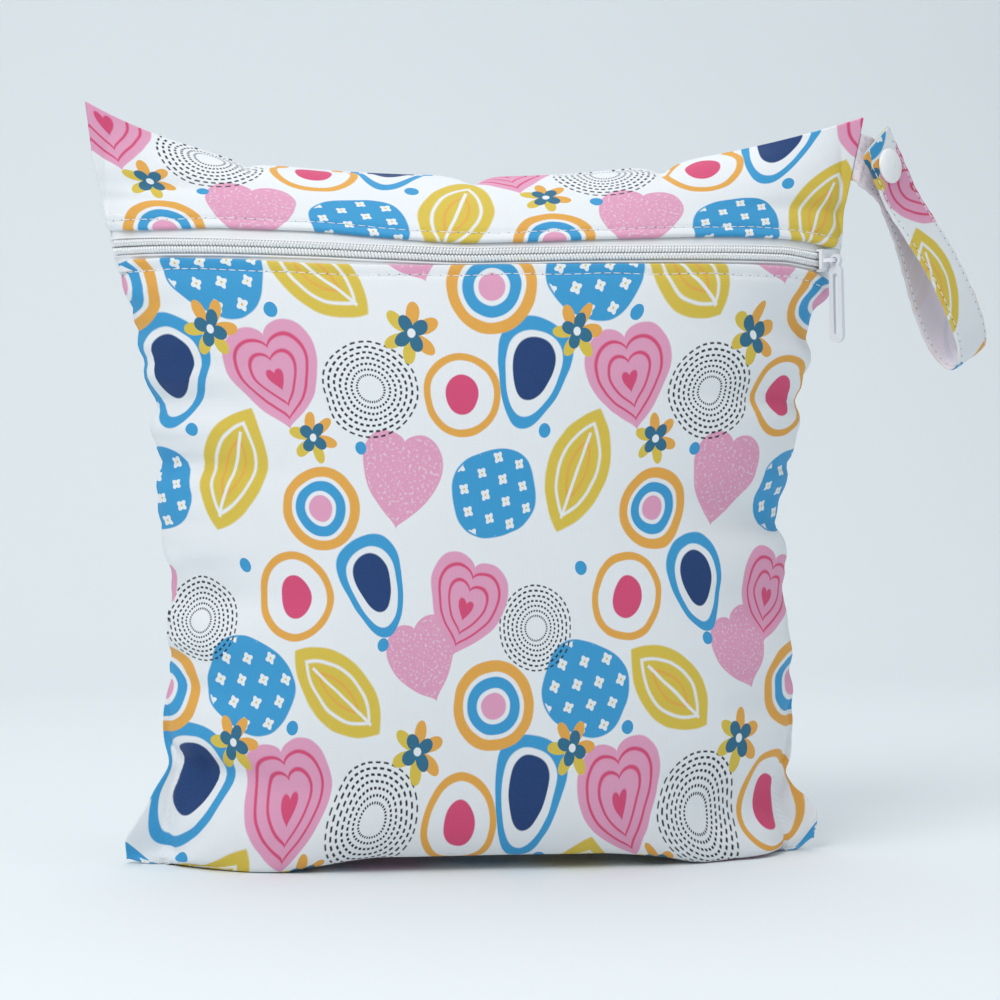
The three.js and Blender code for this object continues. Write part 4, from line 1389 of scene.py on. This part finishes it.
@dataclass
class Panels:
    """The three cloth panels, with their seams turned in and their hems folded at the zip."""

    cloth: FineCloth
    thickness: float = 0.0009
    seam_roll: float = 0.0006
    seam_gap: float = 0.00024
    roll_steps: tuple[float, ...] = (0.35, 0.7, 1.0)
    hem_roll: float = 0.0010
    hem_rows: int = 15
    stitch_reach: float = 0.985
    stitch_sway: float = 0.00025
    columns: int = 240
    lower_rows: int = 112
    upper_rows: int = 44
    back_rows: int = 128
    flat_width: float = 0.300
    flat_height: float = 0.300

    def places(self) -> np.ndarray:
        """Places across, closer together towards the seams."""
        return np.sin(np.linspace(-math.pi / 2, math.pi / 2, self.columns + 1))

    def sheet(
        self, name: str, face: Face, t: np.ndarray, seamed: tuple[bool, bool], hem: int
    ) -> bpy.types.Object:
        """One panel.

        Args:
            name: Its name.
            face: Its side.
            t: Its rows, up the seam.
            seamed: Whether its low and its high edge are sewn to the other side's panel.
            hem: -1 if its low edge is folded under, 1 if its high edge is, 0 if none is.

        Returns:
            The panel.
        """
        s = self.places()
        grid = self.cloth.skin(face, s[:, None], t[None, :])
        wide, tall = s[:, None] * self.flat_width / 2, t[None, :] * self.flat_height
        flat = np.stack(np.broadcast_arrays(wide, tall), -1)
        grid, flat = self.rolled_seams(grid, flat, face, seamed)
        if hem:
            grid, flat = self.folded_hem(grid, flat, face, s, t, hem)
        piece = mesh_object(name, grid, grid_faces(*grid.shape[:2], turned=face is Face.BACK), flat)
        thicken(piece, self.thickness, lined=True)
        return piece

    def rolled_seams(
        self, grid: np.ndarray, flat: np.ndarray, face: Face, seamed: tuple[bool, bool]
    ) -> tuple[np.ndarray, np.ndarray]:
        """Turns the sewn edges in to the plane where the panels meet.

        Args:
            grid: The panel's points.
            flat: Their places on the flat cloth.
            face: The panel's side.
            seamed: Whether the low and the high edge are sewn.

        Returns:
            The grid and the flat places with the turned-in edges added.
        """
        form = self.cloth.form
        turned_in = face.value * (self.seam_gap / 2 - form.gap / 2 - form.cloth)
        first, last = [0] * len(self.roll_steps), [-1] * len(self.roll_steps)

        def turned(edge: np.ndarray, outward: np.ndarray) -> list[np.ndarray]:
            """Rows from an edge in to the seam's plane."""
            rows = []
            for share in self.roll_steps:
                row = edge + outward * (self.seam_roll * math.sin(share * math.pi / 2))
                row[..., 1] = edge[..., 1] + turned_in * share**1.5
                row[..., 2] = np.maximum(row[..., 2], 0)
                rows.append(row)
            return rows

        def sideways(edge: np.ndarray, way: int) -> np.ndarray:
            """Direction out of a side seam, in the plane of the seams."""
            run = np.gradient(edge, axis=0)
            out = np.stack([run[:, 2], np.zeros(len(run)), -run[:, 0]], axis=-1)
            return unit(out) * way

        right = turned(grid[-1], sideways(grid[-1], 1))
        left = turned(grid[0], sideways(grid[0], -1))
        grid = np.concatenate([np.array(left[::-1]), grid, np.array(right)])
        flat = np.concatenate([flat[first], flat, flat[last]])
        for high in (False, True):
            if not seamed[high]:
                continue
            edge = grid[:, -1 if high else 0]
            rolled = turned(edge, np.array([0.0, 0.0, 1.0 if high else -1.0]))
            for row in rolled:
                row[: len(first), 1] = edge[: len(first), 1]
                row[-len(last) :, 1] = edge[-len(last) :, 1]
            rows = np.stack(rolled, axis=1)
            place = flat[:, last if high else first]
            grid = np.concatenate([grid, rows] if high else [rows[:, ::-1], grid], axis=1)
            flat = np.concatenate([flat, place] if high else [place, flat], axis=1)
        return grid, flat

    def folded_hem(
        self, grid: np.ndarray, flat: np.ndarray, face: Face, s: np.ndarray, t: np.ndarray, hem: int
    ) -> tuple[np.ndarray, np.ndarray]:
        """Rolls one edge over and runs it back under the panel.

        Args:
            grid: The panel's points.
            flat: Their places on the flat cloth.
            face: The panel's side.
            s: Places of the columns.
            t: Places of the rows.
            hem: 1 for the high edge, -1 for the low one.

        Returns:
            The grid and the flat places with the hem added.
        """
        last = -1 if hem > 0 else 0
        ends = len(self.roll_steps)
        wide = np.pad(s, ends, mode="edge")
        edge = grid[:, last]
        _, upward, out = self.cloth.directions(face, wide, np.full_like(wide, t[last]))
        away = upward * hem
        reach = self.cloth.form.hem_depth - 2 * self.hem_roll
        rows = [
            edge + away * self.hem_roll * math.sin(a) - out * self.hem_roll * (1 - math.cos(a))
            for a in np.linspace(0.35, math.pi, 7)
        ]
        under = edge - out * 2 * self.hem_roll
        rows += [under - away * reach * share for share in np.linspace(0, 1, 5)[1:]]
        run = self.hem_roll * 0.45
        places = [flat[:, last] + np.array([0.0, hem * run * (n + 1)]) for n in range(len(rows))]
        made, flats = np.stack(rows, axis=1), np.stack(places, axis=1)
        if hem > 0:
            return np.concatenate([grid, made], axis=1), np.concatenate([flat, flats], axis=1)
        return np.concatenate([made[:, ::-1], grid], axis=1), np.concatenate([flats[:, ::-1], flat], axis=1)

    def build(self) -> None:
        """Makes and dresses the three panels."""
        form = self.cloth.form
        roll = form.share(self.hem_roll)
        hem = form.share(form.hem_depth) * np.linspace(0, 1, self.hem_rows)
        near = form.lower_hem - roll - hem[::-1]
        low = (form.lower_hem - roll) * np.linspace(0, 1, self.lower_rows + 1) ** 1.3
        low = np.concatenate([low[low < near[0] - form.share(0.0004)], near])
        lower = self.sheet("lower_front_cloth", Face.FRONT, low, (True, False), 1)
        finish_piece(lower, FRONT_CLOTH, "front_panel_lower")

        near = form.upper_hem + roll + hem
        rest = near[-1] + (1 - near[-1]) * (1 - (1 - np.linspace(0, 1, self.upper_rows + 1)[1:]) ** 1.3)
        high = np.concatenate([near, rest])
        upper = self.sheet("upper_front_cloth", Face.FRONT, high, (False, True), -1)
        finish_piece(upper, UPPER_CLOTH, "front_panel_upper")

        u = np.linspace(0, 1, self.back_rows + 1)
        whole = (u + (1 - np.cos(u * math.pi)) / 2) / 2
        back = self.sheet("back_cloth_panel", Face.BACK, whole, (True, True), 0)
        finish_piece(back, BACK_CLOTH, "back_panel")
        for panel in (lower, upper, back):
            panel.data.materials.append(PANEL_INSIDE.material())
        self.topstitch()

    def topstitch(self) -> None:
        """Sews the white thread along both hems."""
        for row, name in zip(self.cloth.stitch_rows(), ("lower_hem_thread", "upper_hem_thread")):
            s = np.linspace(-self.stitch_reach, self.stitch_reach, 1200)
            t = row + self.cloth.form.share(self.stitch_sway) * np.sin(s * 23 + row * 50)
            points = self.cloth.skin(Face.FRONT, s, t)
            _, _, out = self.cloth.directions(Face.FRONT, s, t)
            finish_piece(stitched(name, points, out), THREAD)


def stitched(
    name: str,
    points: np.ndarray,
    out: np.ndarray,
    pitch: float = 0.0037,
    length: float = 0.0029,
    radius: float = 0.00017,
) -> bpy.types.Object:
    """A row of thread stitches along a line on the cloth, with a dark bead of painted shade at each needle
    hole.

    Args:
        name: The piece's name.
        points: Close points on the line.
        out: The direction out of the cloth at each.
        pitch: From one stitch to the next.
        length: Length of each stitch.
        radius: Half the thread's thickness.

    Returns:
        The stitches as one piece.
    """
    lengths = walked(points)
    parts = Parts()
    hole_shades = Parts()
    chance = np.random.default_rng(5)
    for k in range(int(lengths[-1] / pitch)):
        middle = (k + 0.5) * pitch + chance.uniform(-STITCH_UNEVEN, STITCH_UNEVEN)
        a = found_at(middle - length / 2, lengths, points)
        b = found_at(middle + length / 2, lengths, points)
        normal = unit(found_at(middle, lengths, out))
        along = (b - a) / 2
        wide = unit(np.cross(normal, along)) * radius
        centre = (a + b) / 2 + normal * radius * STITCH_PROUD
        parts.add(*bead(centre, along, wide, normal * radius, sides=6, rings=4, square=0.3))
        # a small dark bead at each needle hole: painted shade in the hole
        hole = found_at(k * pitch, lengths, points)
        long, narrow = unit(along) * NEEDLE_HOLE, unit(wide) * NEEDLE_HOLE * 0.8
        hole_shades.add(*bead(hole, long, narrow, normal * NEEDLE_HOLE * 0.3, rings=3))
    finish_piece(hole_shades.piece(name + "_holes"), NEEDLE_SHADE)
    return parts.piece(name)


@dataclass
class Zip:
    """The closed zip: two tapes, two rows of nylon teeth, and the slider with its pull."""

    cloth: FineCloth
    tape_top: float = 0.0023
    tape_thickness: float = 0.0006
    fold_lift: float = 0.0003
    fold_place: float = 0.0036
    tape_under_hem: float = 0.004
    tape_reach: float = 1.0
    tape_end: float = 0.0010
    seam_depth: float = 0.0006
    seam_rise: float = 0.05
    coil_width: float = 0.0025
    coil_height: float = 0.0016
    coil_left: float = 0.994
    coil_right: float = 0.945
    tooth_pitch: float = 0.0012
    teeth_gap: float = 0.00012
    ridge_radius: float = 0.0002
    tape_start: float = 0.0003
    cord_radius: float = 0.00042
    cord_sides: int = 10
    slider_round: float = 0.00035
    pull_round: float = 0.00045

    def line(self, s: np.ndarray) -> tuple[np.ndarray, np.ndarray, np.ndarray, np.ndarray]:
        """The zip's centre line: points, and the directions along, across and out."""
        form = self.cloth.form
        t = form.zip_rise + form.share(1) * self.cloth.zip_run.at("zip", s)
        points = form.skin(Face.FRONT, s, t)
        along, _, out = form.directions(Face.FRONT, s, t)
        upward = unit(np.cross(out, along))
        return points, along, upward, unit(np.cross(along, upward))

    def depth(self, s: np.ndarray) -> np.ndarray:
        """How deep the tapes lie under the cloth's face; they come up to it at the side seams."""
        return self.seam_depth + (self.tape_top - self.seam_depth) * fade((1 - np.abs(s)) / self.seam_rise)

    def tape(self, side: int) -> bpy.types.Object:
        """One woven tape, from under its hem to the middle of the zip."""
        form = self.cloth.form
        run = self.cloth.zip_run
        s = np.sin(np.linspace(-1, 1, 221) * math.asin(self.tape_reach))
        hem = run.at("upper" if side > 0 else "lower", s) - run.at("zip", s)
        reach = form.zip_opening / 2 + side * hem + self.tape_under_hem
        across = self.tape_start + (reach - self.tape_start)[:, None] * np.linspace(0, 1, 14)[None, :]
        t = form.zip_rise + form.share(1) * (run.at("zip", s)[:, None] + side * across)
        wide = np.broadcast_to(s[:, None], t.shape)
        _, _, normal = form.directions(Face.FRONT, wide, t)
        lift = self.fold_lift * bump(across - self.fold_place, 2 * self.fold_lift)
        grid = form.skin(Face.FRONT, wide, t) + normal * (lift - self.depth(wide))[..., None]
        grid[0, :, 0] -= self.tape_end
        grid[-1, :, 0] += self.tape_end
        flat = np.stack(np.broadcast_arrays(wide * 0.15, side * across), -1)
        name = "upper_tape" if side > 0 else "lower_tape"
        piece = mesh_object(name, grid, grid_faces(*grid.shape[:2], turned=side < 0), flat)
        thicken(piece, self.tape_thickness)
        return piece

    def teeth(self, side: int) -> bpy.types.Object:
        """One row of nylon teeth, each with a thin ridge along its top."""
        s = np.linspace(-self.coil_left, self.coil_right, 1600)
        points, along, upward, out = self.line(s)
        lengths = walked(points)
        parts = Parts()
        base = self.tape_start - self.depth(s)
        middle = side * (self.teeth_gap + self.coil_width / 2)
        for k in range(int(lengths[-1] / self.tooth_pitch)):
            place = (k + 0.5 + 0.25 * side) * self.tooth_pitch
            origin, a, b, n = (found_at(place, lengths, v) for v in (points, along, upward, out))
            foot = np.interp(place, lengths, base)
            slant = unit(b * side + a * 0.32)
            across = unit(np.cross(n, slant))
            centre = origin + b * middle + n * (foot + self.coil_height * 0.46)
            long, wide = slant * self.coil_width * 0.52, across * self.tooth_pitch * 0.54
            parts.add(*bead(centre, long, wide, n * self.coil_height / 2, sides=8, rings=5, square=0.36))
            lean = unit(a + b * side * 0.55)
            top = origin + b * middle + n * (foot + self.coil_height * 0.88)
            long, wide = lean * self.tooth_pitch * 0.62, unit(np.cross(n, lean)) * self.ridge_radius * 1.1
            parts.add(*bead(top, long, wide, n * self.ridge_radius, sides=6, rings=3, square=0.4))
        return parts.piece("upper_teeth" if side > 0 else "lower_teeth")

    def cord(self, side: int) -> bpy.types.Object:
        """The smooth raised edge of the tape beside the teeth."""
        s = np.linspace(-self.tape_reach, self.tape_reach, 260)
        points, _, upward, out = self.line(s)
        offset = side * (self.coil_width + self.cord_radius + 0.00035)
        centre = points + upward * offset + out * (self.cord_radius * 0.75 - self.depth(s))[:, None]
        turn = np.linspace(0, 2 * math.pi, self.cord_sides, endpoint=False)[None, :, None]
        ring = (np.cos(turn) * upward[:, None] + np.sin(turn) * out[:, None]) * self.cord_radius
        name = "upper_cord" if side > 0 else "lower_cord"
        return mesh_object(name, centre[:, None] + ring, ring_faces(len(s), self.cord_sides))

    def soften(self, node: str, radius: float, finish: Finish) -> None:
        """Rounds the edges of a moulded piece and gives it its plastic."""
        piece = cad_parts[node]
        bevel = piece.modifiers.new("rounded_edges", "BEVEL")
        bevel.width = radius
        bevel.segments = 3
        bevel.limit_method = "ANGLE"
        bevel.angle_limit = math.radians(32)
        piece.data.materials.clear()
        piece.data.materials.append(finish.material())
        LOG.info("%s: moulded piece, edges rounded", node)

    def build(self) -> None:
        """Makes and dresses the zip."""
        for side, word in ((-1, "lower"), (1, "upper")):
            finish_piece(self.tape(side), TAPE, f"zip_tape_{word}")
            finish_piece(self.teeth(side), NYLON, f"zip_coil_{word}")
            finish_piece(self.cord(side), THREAD)
        self.soften("zip_slider", self.slider_round, SLIDER_PLASTIC)
        self.soften("zip_pull", self.pull_round, PULL_PLASTIC)


class RunRow(NamedTuple):
    """One point of the strap's run: shares of its drop, width and opening."""

    along: float
    aside: float
    out: float


SEWN_RUN = (
    RunRow(0.2, 0.36, -0.04),
    RunRow(0.33, 0.47, -0.12),
    RunRow(0.52, 0.52, -0.22),
    RunRow(0.72, 0.52, -0.26),
    RunRow(0.88, 0.52, -0.12),
    RunRow(0.975, 0.52, 0.2),
    RunRow(1.0, 0.52, 0.5),
)
RETURN_RUN = (
    RunRow(0.975, 0.52, 0.8),
    RunRow(0.88, 0.5, 1.02),
    RunRow(0.7, 0.45, 1.02),
    RunRow(0.5, 0.37, 0.86),
    RunRow(0.32, 0.24, 0.64),
    RunRow(0.18, 0.13, 0.47),
)


def smooth_path(points: np.ndarray, count: int) -> np.ndarray:
    """Even steps on a centripetal curve through points.

    Args:
        points: The points that it passes through.
        count: How many steps to cut it into.

    Returns:
        The points of the even steps.
    """
    whole = np.concatenate([[2 * points[0] - points[1]], points, [2 * points[-1] - points[-2]]])
    fine = []
    for k in range(1, len(whole) - 2):
        p0, p1, p2, p3 = whole[k - 1 : k + 3]
        d0, d1, d2 = (max(np.linalg.norm(b - a), 1e-9) ** 0.5 for a, b in ((p0, p1), (p1, p2), (p2, p3)))
        t1 = ((p1 - p0) / d0 - (p2 - p0) / (d0 + d1) + (p2 - p1) / d1) * d1
        t2 = ((p2 - p1) / d1 - (p3 - p1) / (d1 + d2) + (p3 - p2) / d2) * d1
        u = np.linspace(0, 1, 60, endpoint=False)[:, None]
        fine.append(p1 + t1 * u + (3 * (p2 - p1) - 2 * t1 - t2) * u**2 + (2 * (p1 - p2) + t1 + t2) * u**3)
    fine = np.concatenate([*fine, points[-1:]])
    lengths = walked(fine)
    places = np.linspace(0, lengths[-1], count + 1)
    return np.stack([np.interp(places, lengths, fine[:, k]) for k in range(3)], axis=-1)


@dataclass
class Strap:
    """The cloth strap, sewn into the right side seam, folded back and closed with a press stud."""

    form: PouchForm
    width: float = 0.022
    root_width: float = 0.018
    thickness: float = 0.0016
    rise: float = 0.949
    drop: float = 0.085
    opening: float = 0.012
    end: float = 0.011
    stub: float = 0.0025
    lead_length: float = 0.009
    cap_diameter: float = 0.0135
    cap_rim: float = 0.0007
    cap_dome: float = 0.0015
    post_diameter: float = 0.0032
    body_diameter: float = 0.0104
    socket: float = 0.0015
    stud: float = 0.0011
    clearance: float = 0.0006
    hang_way: tuple[float, float, float] = (0.36, 0.2, -0.911)
    facing: tuple[float, float, float] = (0.592, -0.804, 0.058)
    steps: int = 300
    across_points: int = 23
    stitch_inset: float = 0.82
    sewn_from: int = 18
    sewn_to: int = -4
    stud_sides: int = 48

    def __post_init__(self) -> None:
        """Works out the strap's directions and where the press stud sits."""
        self.hang = unit(np.array(self.hang_way))
        self.level = unit(np.cross(np.array(self.facing), self.hang))
        self.out = unit(np.cross(self.hang, self.level))
        self.apart = self.thickness + self.socket + self.stud + 2 * self.clearance + self.form.gap
        half = self.form.share(self.root_width / 2)
        self.edge = unit(self.seam(self.rise + half) - self.seam(self.rise - half))
        self.root_out = unit(np.array([self.edge[2], 0.0, -self.edge[0]]))
        self.lead = unit(self.hang + self.level)
        self.start = self.seam(self.rise) + self.root_out * 2 * self.form.gap
        self.seat = self.start + self.root_out * self.stub + self.lead * self.lead_length

    def seam(self, t: float) -> np.ndarray:
        """Point of the right side seam."""
        s, height = np.array(1.0), np.array(t)
        x, z = self.form.across(s, height), self.form.up(s, height)
        return np.array([x, self.form.seam_plane(s, height), z]) + self.form.origin

    def loop_point(self, along: float, aside: float, out: float) -> np.ndarray:
        """Point of the loop, counted from the press stud."""
        return self.seat + self.hang * along + self.level * aside + self.out * out

    def path(self) -> np.ndarray:
        """The band's middle line, from the seam to its free end."""
        flat = self.cap_diameter / 2
        run = [
            self.loop_point(r.along * self.drop, r.aside * self.width, r.out * self.opening)
            for r in (*SEWN_RUN, *RETURN_RUN)
        ]
        points = [
            self.start,
            self.start + self.root_out * self.stub / 2,
            self.seat - self.lead * self.lead_length * 0.9,
            self.seat - self.lead * self.lead_length * 0.62,
            self.seat,
            self.loop_point(flat * 0.8, flat * 0.6, 0),
            self.loop_point(flat * 1.3, flat * 0.9, 0),
            *run,
            self.loop_point(flat, flat * 0.15, self.apart),
            self.loop_point(-flat * 0.4, -flat * 0.1, self.apart),
            self.loop_point(-self.end, -self.end * 0.25, self.apart),
        ]
        return smooth_path(np.array(points), self.steps)

    def frames(self) -> tuple[np.ndarray, np.ndarray, np.ndarray, np.ndarray]:
        """The band's middle line, its directions across and out, and half its width along the way."""
        centre = self.path()
        heading = unit(np.gradient(centre, axis=0))
        heading[0] = self.root_out
        turned = fade(walked(centre) / (self.stub + self.lead_length / 2))
        level = self.edge + (self.level - self.edge) * turned[:, None]
        level = unit(level - heading * (level * heading).sum(axis=1, keepdims=True))
        thick = unit(np.cross(heading, level))
        half = (self.root_width + (self.width - self.root_width) * turned) / 2
        return centre, level, thick, half

    def band(self) -> bpy.types.Object:
        """The band with soft edges, a slight crown and small waves."""
        centre, level, thick, half = self.frames()
        lengths = walked(centre)
        row = np.linspace(-1, 1, self.across_points)
        across, face = np.concatenate([row, row[::-1]]), np.repeat([1.0, -1.0], self.across_points)
        edge = np.maximum(np.sqrt(np.maximum(1 - np.abs(across) ** 10, 0)), 0.12)
        groove = 1 - 0.24 * bump(np.abs(across) - self.stitch_inset, 0.05)
        ripple = 1 + 0.012 * np.sin(lengths * 700) + 0.01 * np.sin(lengths * 1130 + 1)
        wide = across[None, :] * (half * ripple)[:, None]
        tall = np.broadcast_to(face * edge * groove * self.thickness / 2, wide.shape)
        points = centre[:, None] + level[:, None] * wide[..., None] + thick[:, None] * tall[..., None]
        aside = across[None, :] * half[:, None] + face * 0.02
        flat = np.stack(np.broadcast_arrays(aside, lengths[:, None]), -1)
        return mesh_object("strap_band", points, ring_faces(len(centre), len(across)), flat)

    def stitches(self) -> list[bpy.types.Object]:
        """Topstitching along the band's edges on both faces, and the uneven row that closes its end."""
        centre, level, thick, half = self.frames()
        made = []
        sewn = slice(self.sewn_from, self.sewn_to)
        for number, (a, b) in enumerate(((-1, 1), (1, 1), (-1, -1), (1, -1))):
            line = centre + level * (a * self.stitch_inset * half)[:, None]
            line = line + thick * (b * self.thickness / 2 * 0.8)
            name = f"strap_thread_{number}"
            made.append(stitched(name, line[sewn], (thick * b)[sewn], 0.0032, 0.0024, 0.00018))
        middle, side, up = centre[self.sewn_to], level[self.sewn_to], thick[self.sewn_to]
        heading = unit(centre[-1] - middle)
        share = np.linspace(-0.86, 0.86, 40)
        crooked = 0.0009 * np.sin(share * 5 + 0.6) + 0.0006 * share
        points = middle + side * (share * half[self.sewn_to])[:, None] + heading * crooked[:, None]
        points = points + up * self.thickness / 2
        made.append(stitched("strap_end_thread", points, np.tile(up, (40, 1)), 0.0032, 0.0026, 0.00025))
        return made

    def turned(self, name: str, profile: Profile, height: float, way: int) -> bpy.types.Object:
        """A round piece of the press stud, lathed about its axis.

        Args:
            name: The piece's name.
            profile: Its radii and heights, from the axis outwards and back.
            height: Where its foot is, over the sewn-in run.
            way: 1 if it looks outwards, -1 if it looks the other way.

        Returns:
            The piece.
        """
        turn = np.linspace(0, 2 * math.pi, self.stud_sides, endpoint=False)
        base = self.loop_point(0, 0, height)
        aside = unit(np.cross(self.level, self.out))
        radii = np.array([max(r, 1e-5) for r, _ in profile])
        heights = np.array([h for _, h in profile]) * way
        ring = np.cos(turn)[:, None] * self.level + np.sin(turn)[:, None] * aside * -way
        points = base + radii[:, None, None] * ring[None] + heights[:, None, None] * self.out
        return mesh_object(name, points, ring_faces(len(profile), self.stud_sides))

    def cap_profile(self) -> Profile:
        """A cap with a rounded rim, a low dome and the small mark of its mould."""
        radius = self.cap_diameter / 2
        post = self.post_diameter / 2
        length = self.thickness + 2 * self.clearance + self.stud * 0.5
        rim = [
            (radius - 0.0004 + 0.0004 * math.sin(a), 0.00035 - 0.00035 * math.cos(a))
            for a in np.linspace(0, math.pi / 2, 5)
        ]
        dome = [
            (radius * math.cos(a), self.cap_rim + self.cap_dome * math.sin(a))
            for a in np.linspace(0.06, math.pi / 2 * 0.93, 12)
        ]
        top = dome[-1][1]
        mark = [(0.0007, top + 0.00003), (0.0005, top - 0.00012), (0.0, top - 0.00014)]
        return [(0.0, -length), (post, -length), (post, 0.0), *rim, *dome, *mark]

    def ring_profile(self, thickness: float) -> Profile:
        """The socket or the stud, with its bore."""
        radius, bore = self.body_diameter / 2, self.post_diameter / 2 + self.form.gap
        shoulder = [(radius, thickness * 0.7), (radius * 0.82, thickness)]
        return [(bore, 0.0), (radius, 0.0), *shoulder, (bore, thickness), (bore, 0.0)]

    def build(self) -> None:
        """Makes and dresses the strap and its press stud."""
        band = self.band()
        finish_piece(band, STRAP_CLOTH, "strap")
        band.data.materials.append(STRAP_LINING.material())
        sides = 2 * self.across_points
        inner = [k % sides < self.across_points - 1 for k in range(len(band.data.polygons) - 2)]
        band.data.polygons.foreach_set("material_index", [int(i) for i in inner] + [0, 0])
        for piece in self.stitches():
            finish_piece(piece, THREAD)
        cap = self.cap_profile()
        socket, stud = self.ring_profile(self.socket), self.ring_profile(self.stud)
        near, far = self.thickness / 2, self.apart - self.thickness / 2
        proud, sunk = self.clearance * 0.1, self.clearance * 0.5
        pieces = (
            ("press_cap", cap, far + self.thickness + proud, 1, "snap_cap"),
            ("press_back_cap", cap, -near - proud, -1, "snap_back_cap"),
            ("press_socket", socket, far - sunk, -1, "snap_socket"),
            ("press_stud", stud, near + sunk, 1, "snap_stud"),
        )
        for name, profile, height, way, node in pieces:
            finish_piece(self.turned(name, profile, height, way), SNAP_PLASTIC, node)


@dataclass
class Studio:
    """A pale seamless sweep, soft lights and the camera."""

    origin: np.ndarray
    eye: Vector = field(default_factory=lambda: Vector((-0.09905, -0.8445, 0.141)))
    turn: float = math.radians(6.5 + 0.636)
    down: float = math.radians(0.432)
    view: float = 2 * math.atan(500 / 2252.5)
    sweep_reach: float = 8.0
    sweep_bend: float = 0.75
    sweep_radius: float = 0.6
    sweep_height: float = 5.0
    floor_gap: float = 0.0003

    def camera(self) -> None:
        """Stands the camera where the photograph was taken from."""
        data = bpy.data.cameras.new("camera")
        data.sensor_width = 36.0
        data.sensor_fit = "HORIZONTAL"
        data.lens = data.sensor_width / 2 / math.tan(self.view / 2)
        data.clip_start, data.clip_end = 0.01, 50.0
        camera = bpy.data.objects.new("camera", data)
        camera.location = self.eye + Vector(self.origin)
        ahead = Vector((math.sin(self.turn), math.cos(self.turn), -math.tan(self.down)))
        camera.rotation_euler = ahead.to_track_quat("-Z", "Y").to_euler()
        bpy.context.scene.collection.objects.link(camera)
        bpy.context.scene.camera = camera

    def sweep(self) -> None:
        """The floor that curves up into the wall behind."""
        bend, radius = self.sweep_bend, self.sweep_radius
        turns = np.linspace(0.05, math.pi / 2, 24)
        curve = [(bend + radius * math.sin(a), radius - radius * math.cos(a)) for a in turns]
        profile = [(-self.sweep_reach, 0.0), (bend, 0.0), *curve, (bend + radius, self.sweep_height)]
        sides = (-self.sweep_reach, self.sweep_reach)
        points = np.array([[x, y, z - self.floor_gap] for x in sides for y, z in profile])
        sweep = mesh_object("studio_sweep", points, grid_faces(2, len(profile)))
        paper = Finish("studio_paper", linear(228, 234, 237), 0.8, mottle=0.0, specular=0.2)
        sweep.data.materials.append(paper.material())

    def lamp(self, name: str, place: Vector, size: float, power: float, colour: Colour) -> None:
        """A square soft lamp that looks at the pouch."""
        data = bpy.data.lights.new(name, "AREA")
        data.shape = "SQUARE"
        data.size = size
        data.energy = power
        data.color = colour
        lamp = bpy.data.objects.new(name, data)
        lamp.location = place
        lamp.rotation_euler = (Vector((0.0, 0.0, 0.12)) - place).to_track_quat("-Z", "Y").to_euler()
        bpy.context.scene.collection.objects.link(lamp)

    def build(self) -> None:
        """Sets up the sweep, the lamps, the even light all round and the camera."""
        self.sweep()
        self.lamp("key_lamp", Vector((-0.9, -1.0, 1.35)), 1.0, 17.0, (1.0, 0.99, 0.98))
        self.lamp("fill_lamp", Vector((1.3, -1.0, 0.9)), 1.2, 3.5, (0.95, 0.98, 1.0))
        self.lamp("top_lamp", Vector((0.0, 0.3, 1.8)), 1.6, 12.0, (0.97, 0.99, 1.0))
        world = bpy.data.worlds.new("even_light")
        world.use_nodes = True
        background = world.node_tree.nodes["Background"]
        background.inputs["Color"].default_value = (0.92, 0.965, 1.0, 1.0)
        background.inputs["Strength"].default_value = 0.44
        bpy.context.scene.world = world
        bpy.context.scene.view_settings.view_transform = "Standard"
        self.camera()


def main() -> None:
    """Builds the pouch piece by piece and sets the stage."""
    logging.basicConfig(level=logging.INFO, format="%(name)s %(message)s")
    form = PouchForm()
    cloth = FineCloth(form)
    Panels(cloth).build()
    Zip(cloth).build()
    Strap(form).build()
    Studio(form.origin).build()


if __name__ == "__main__":
    main()
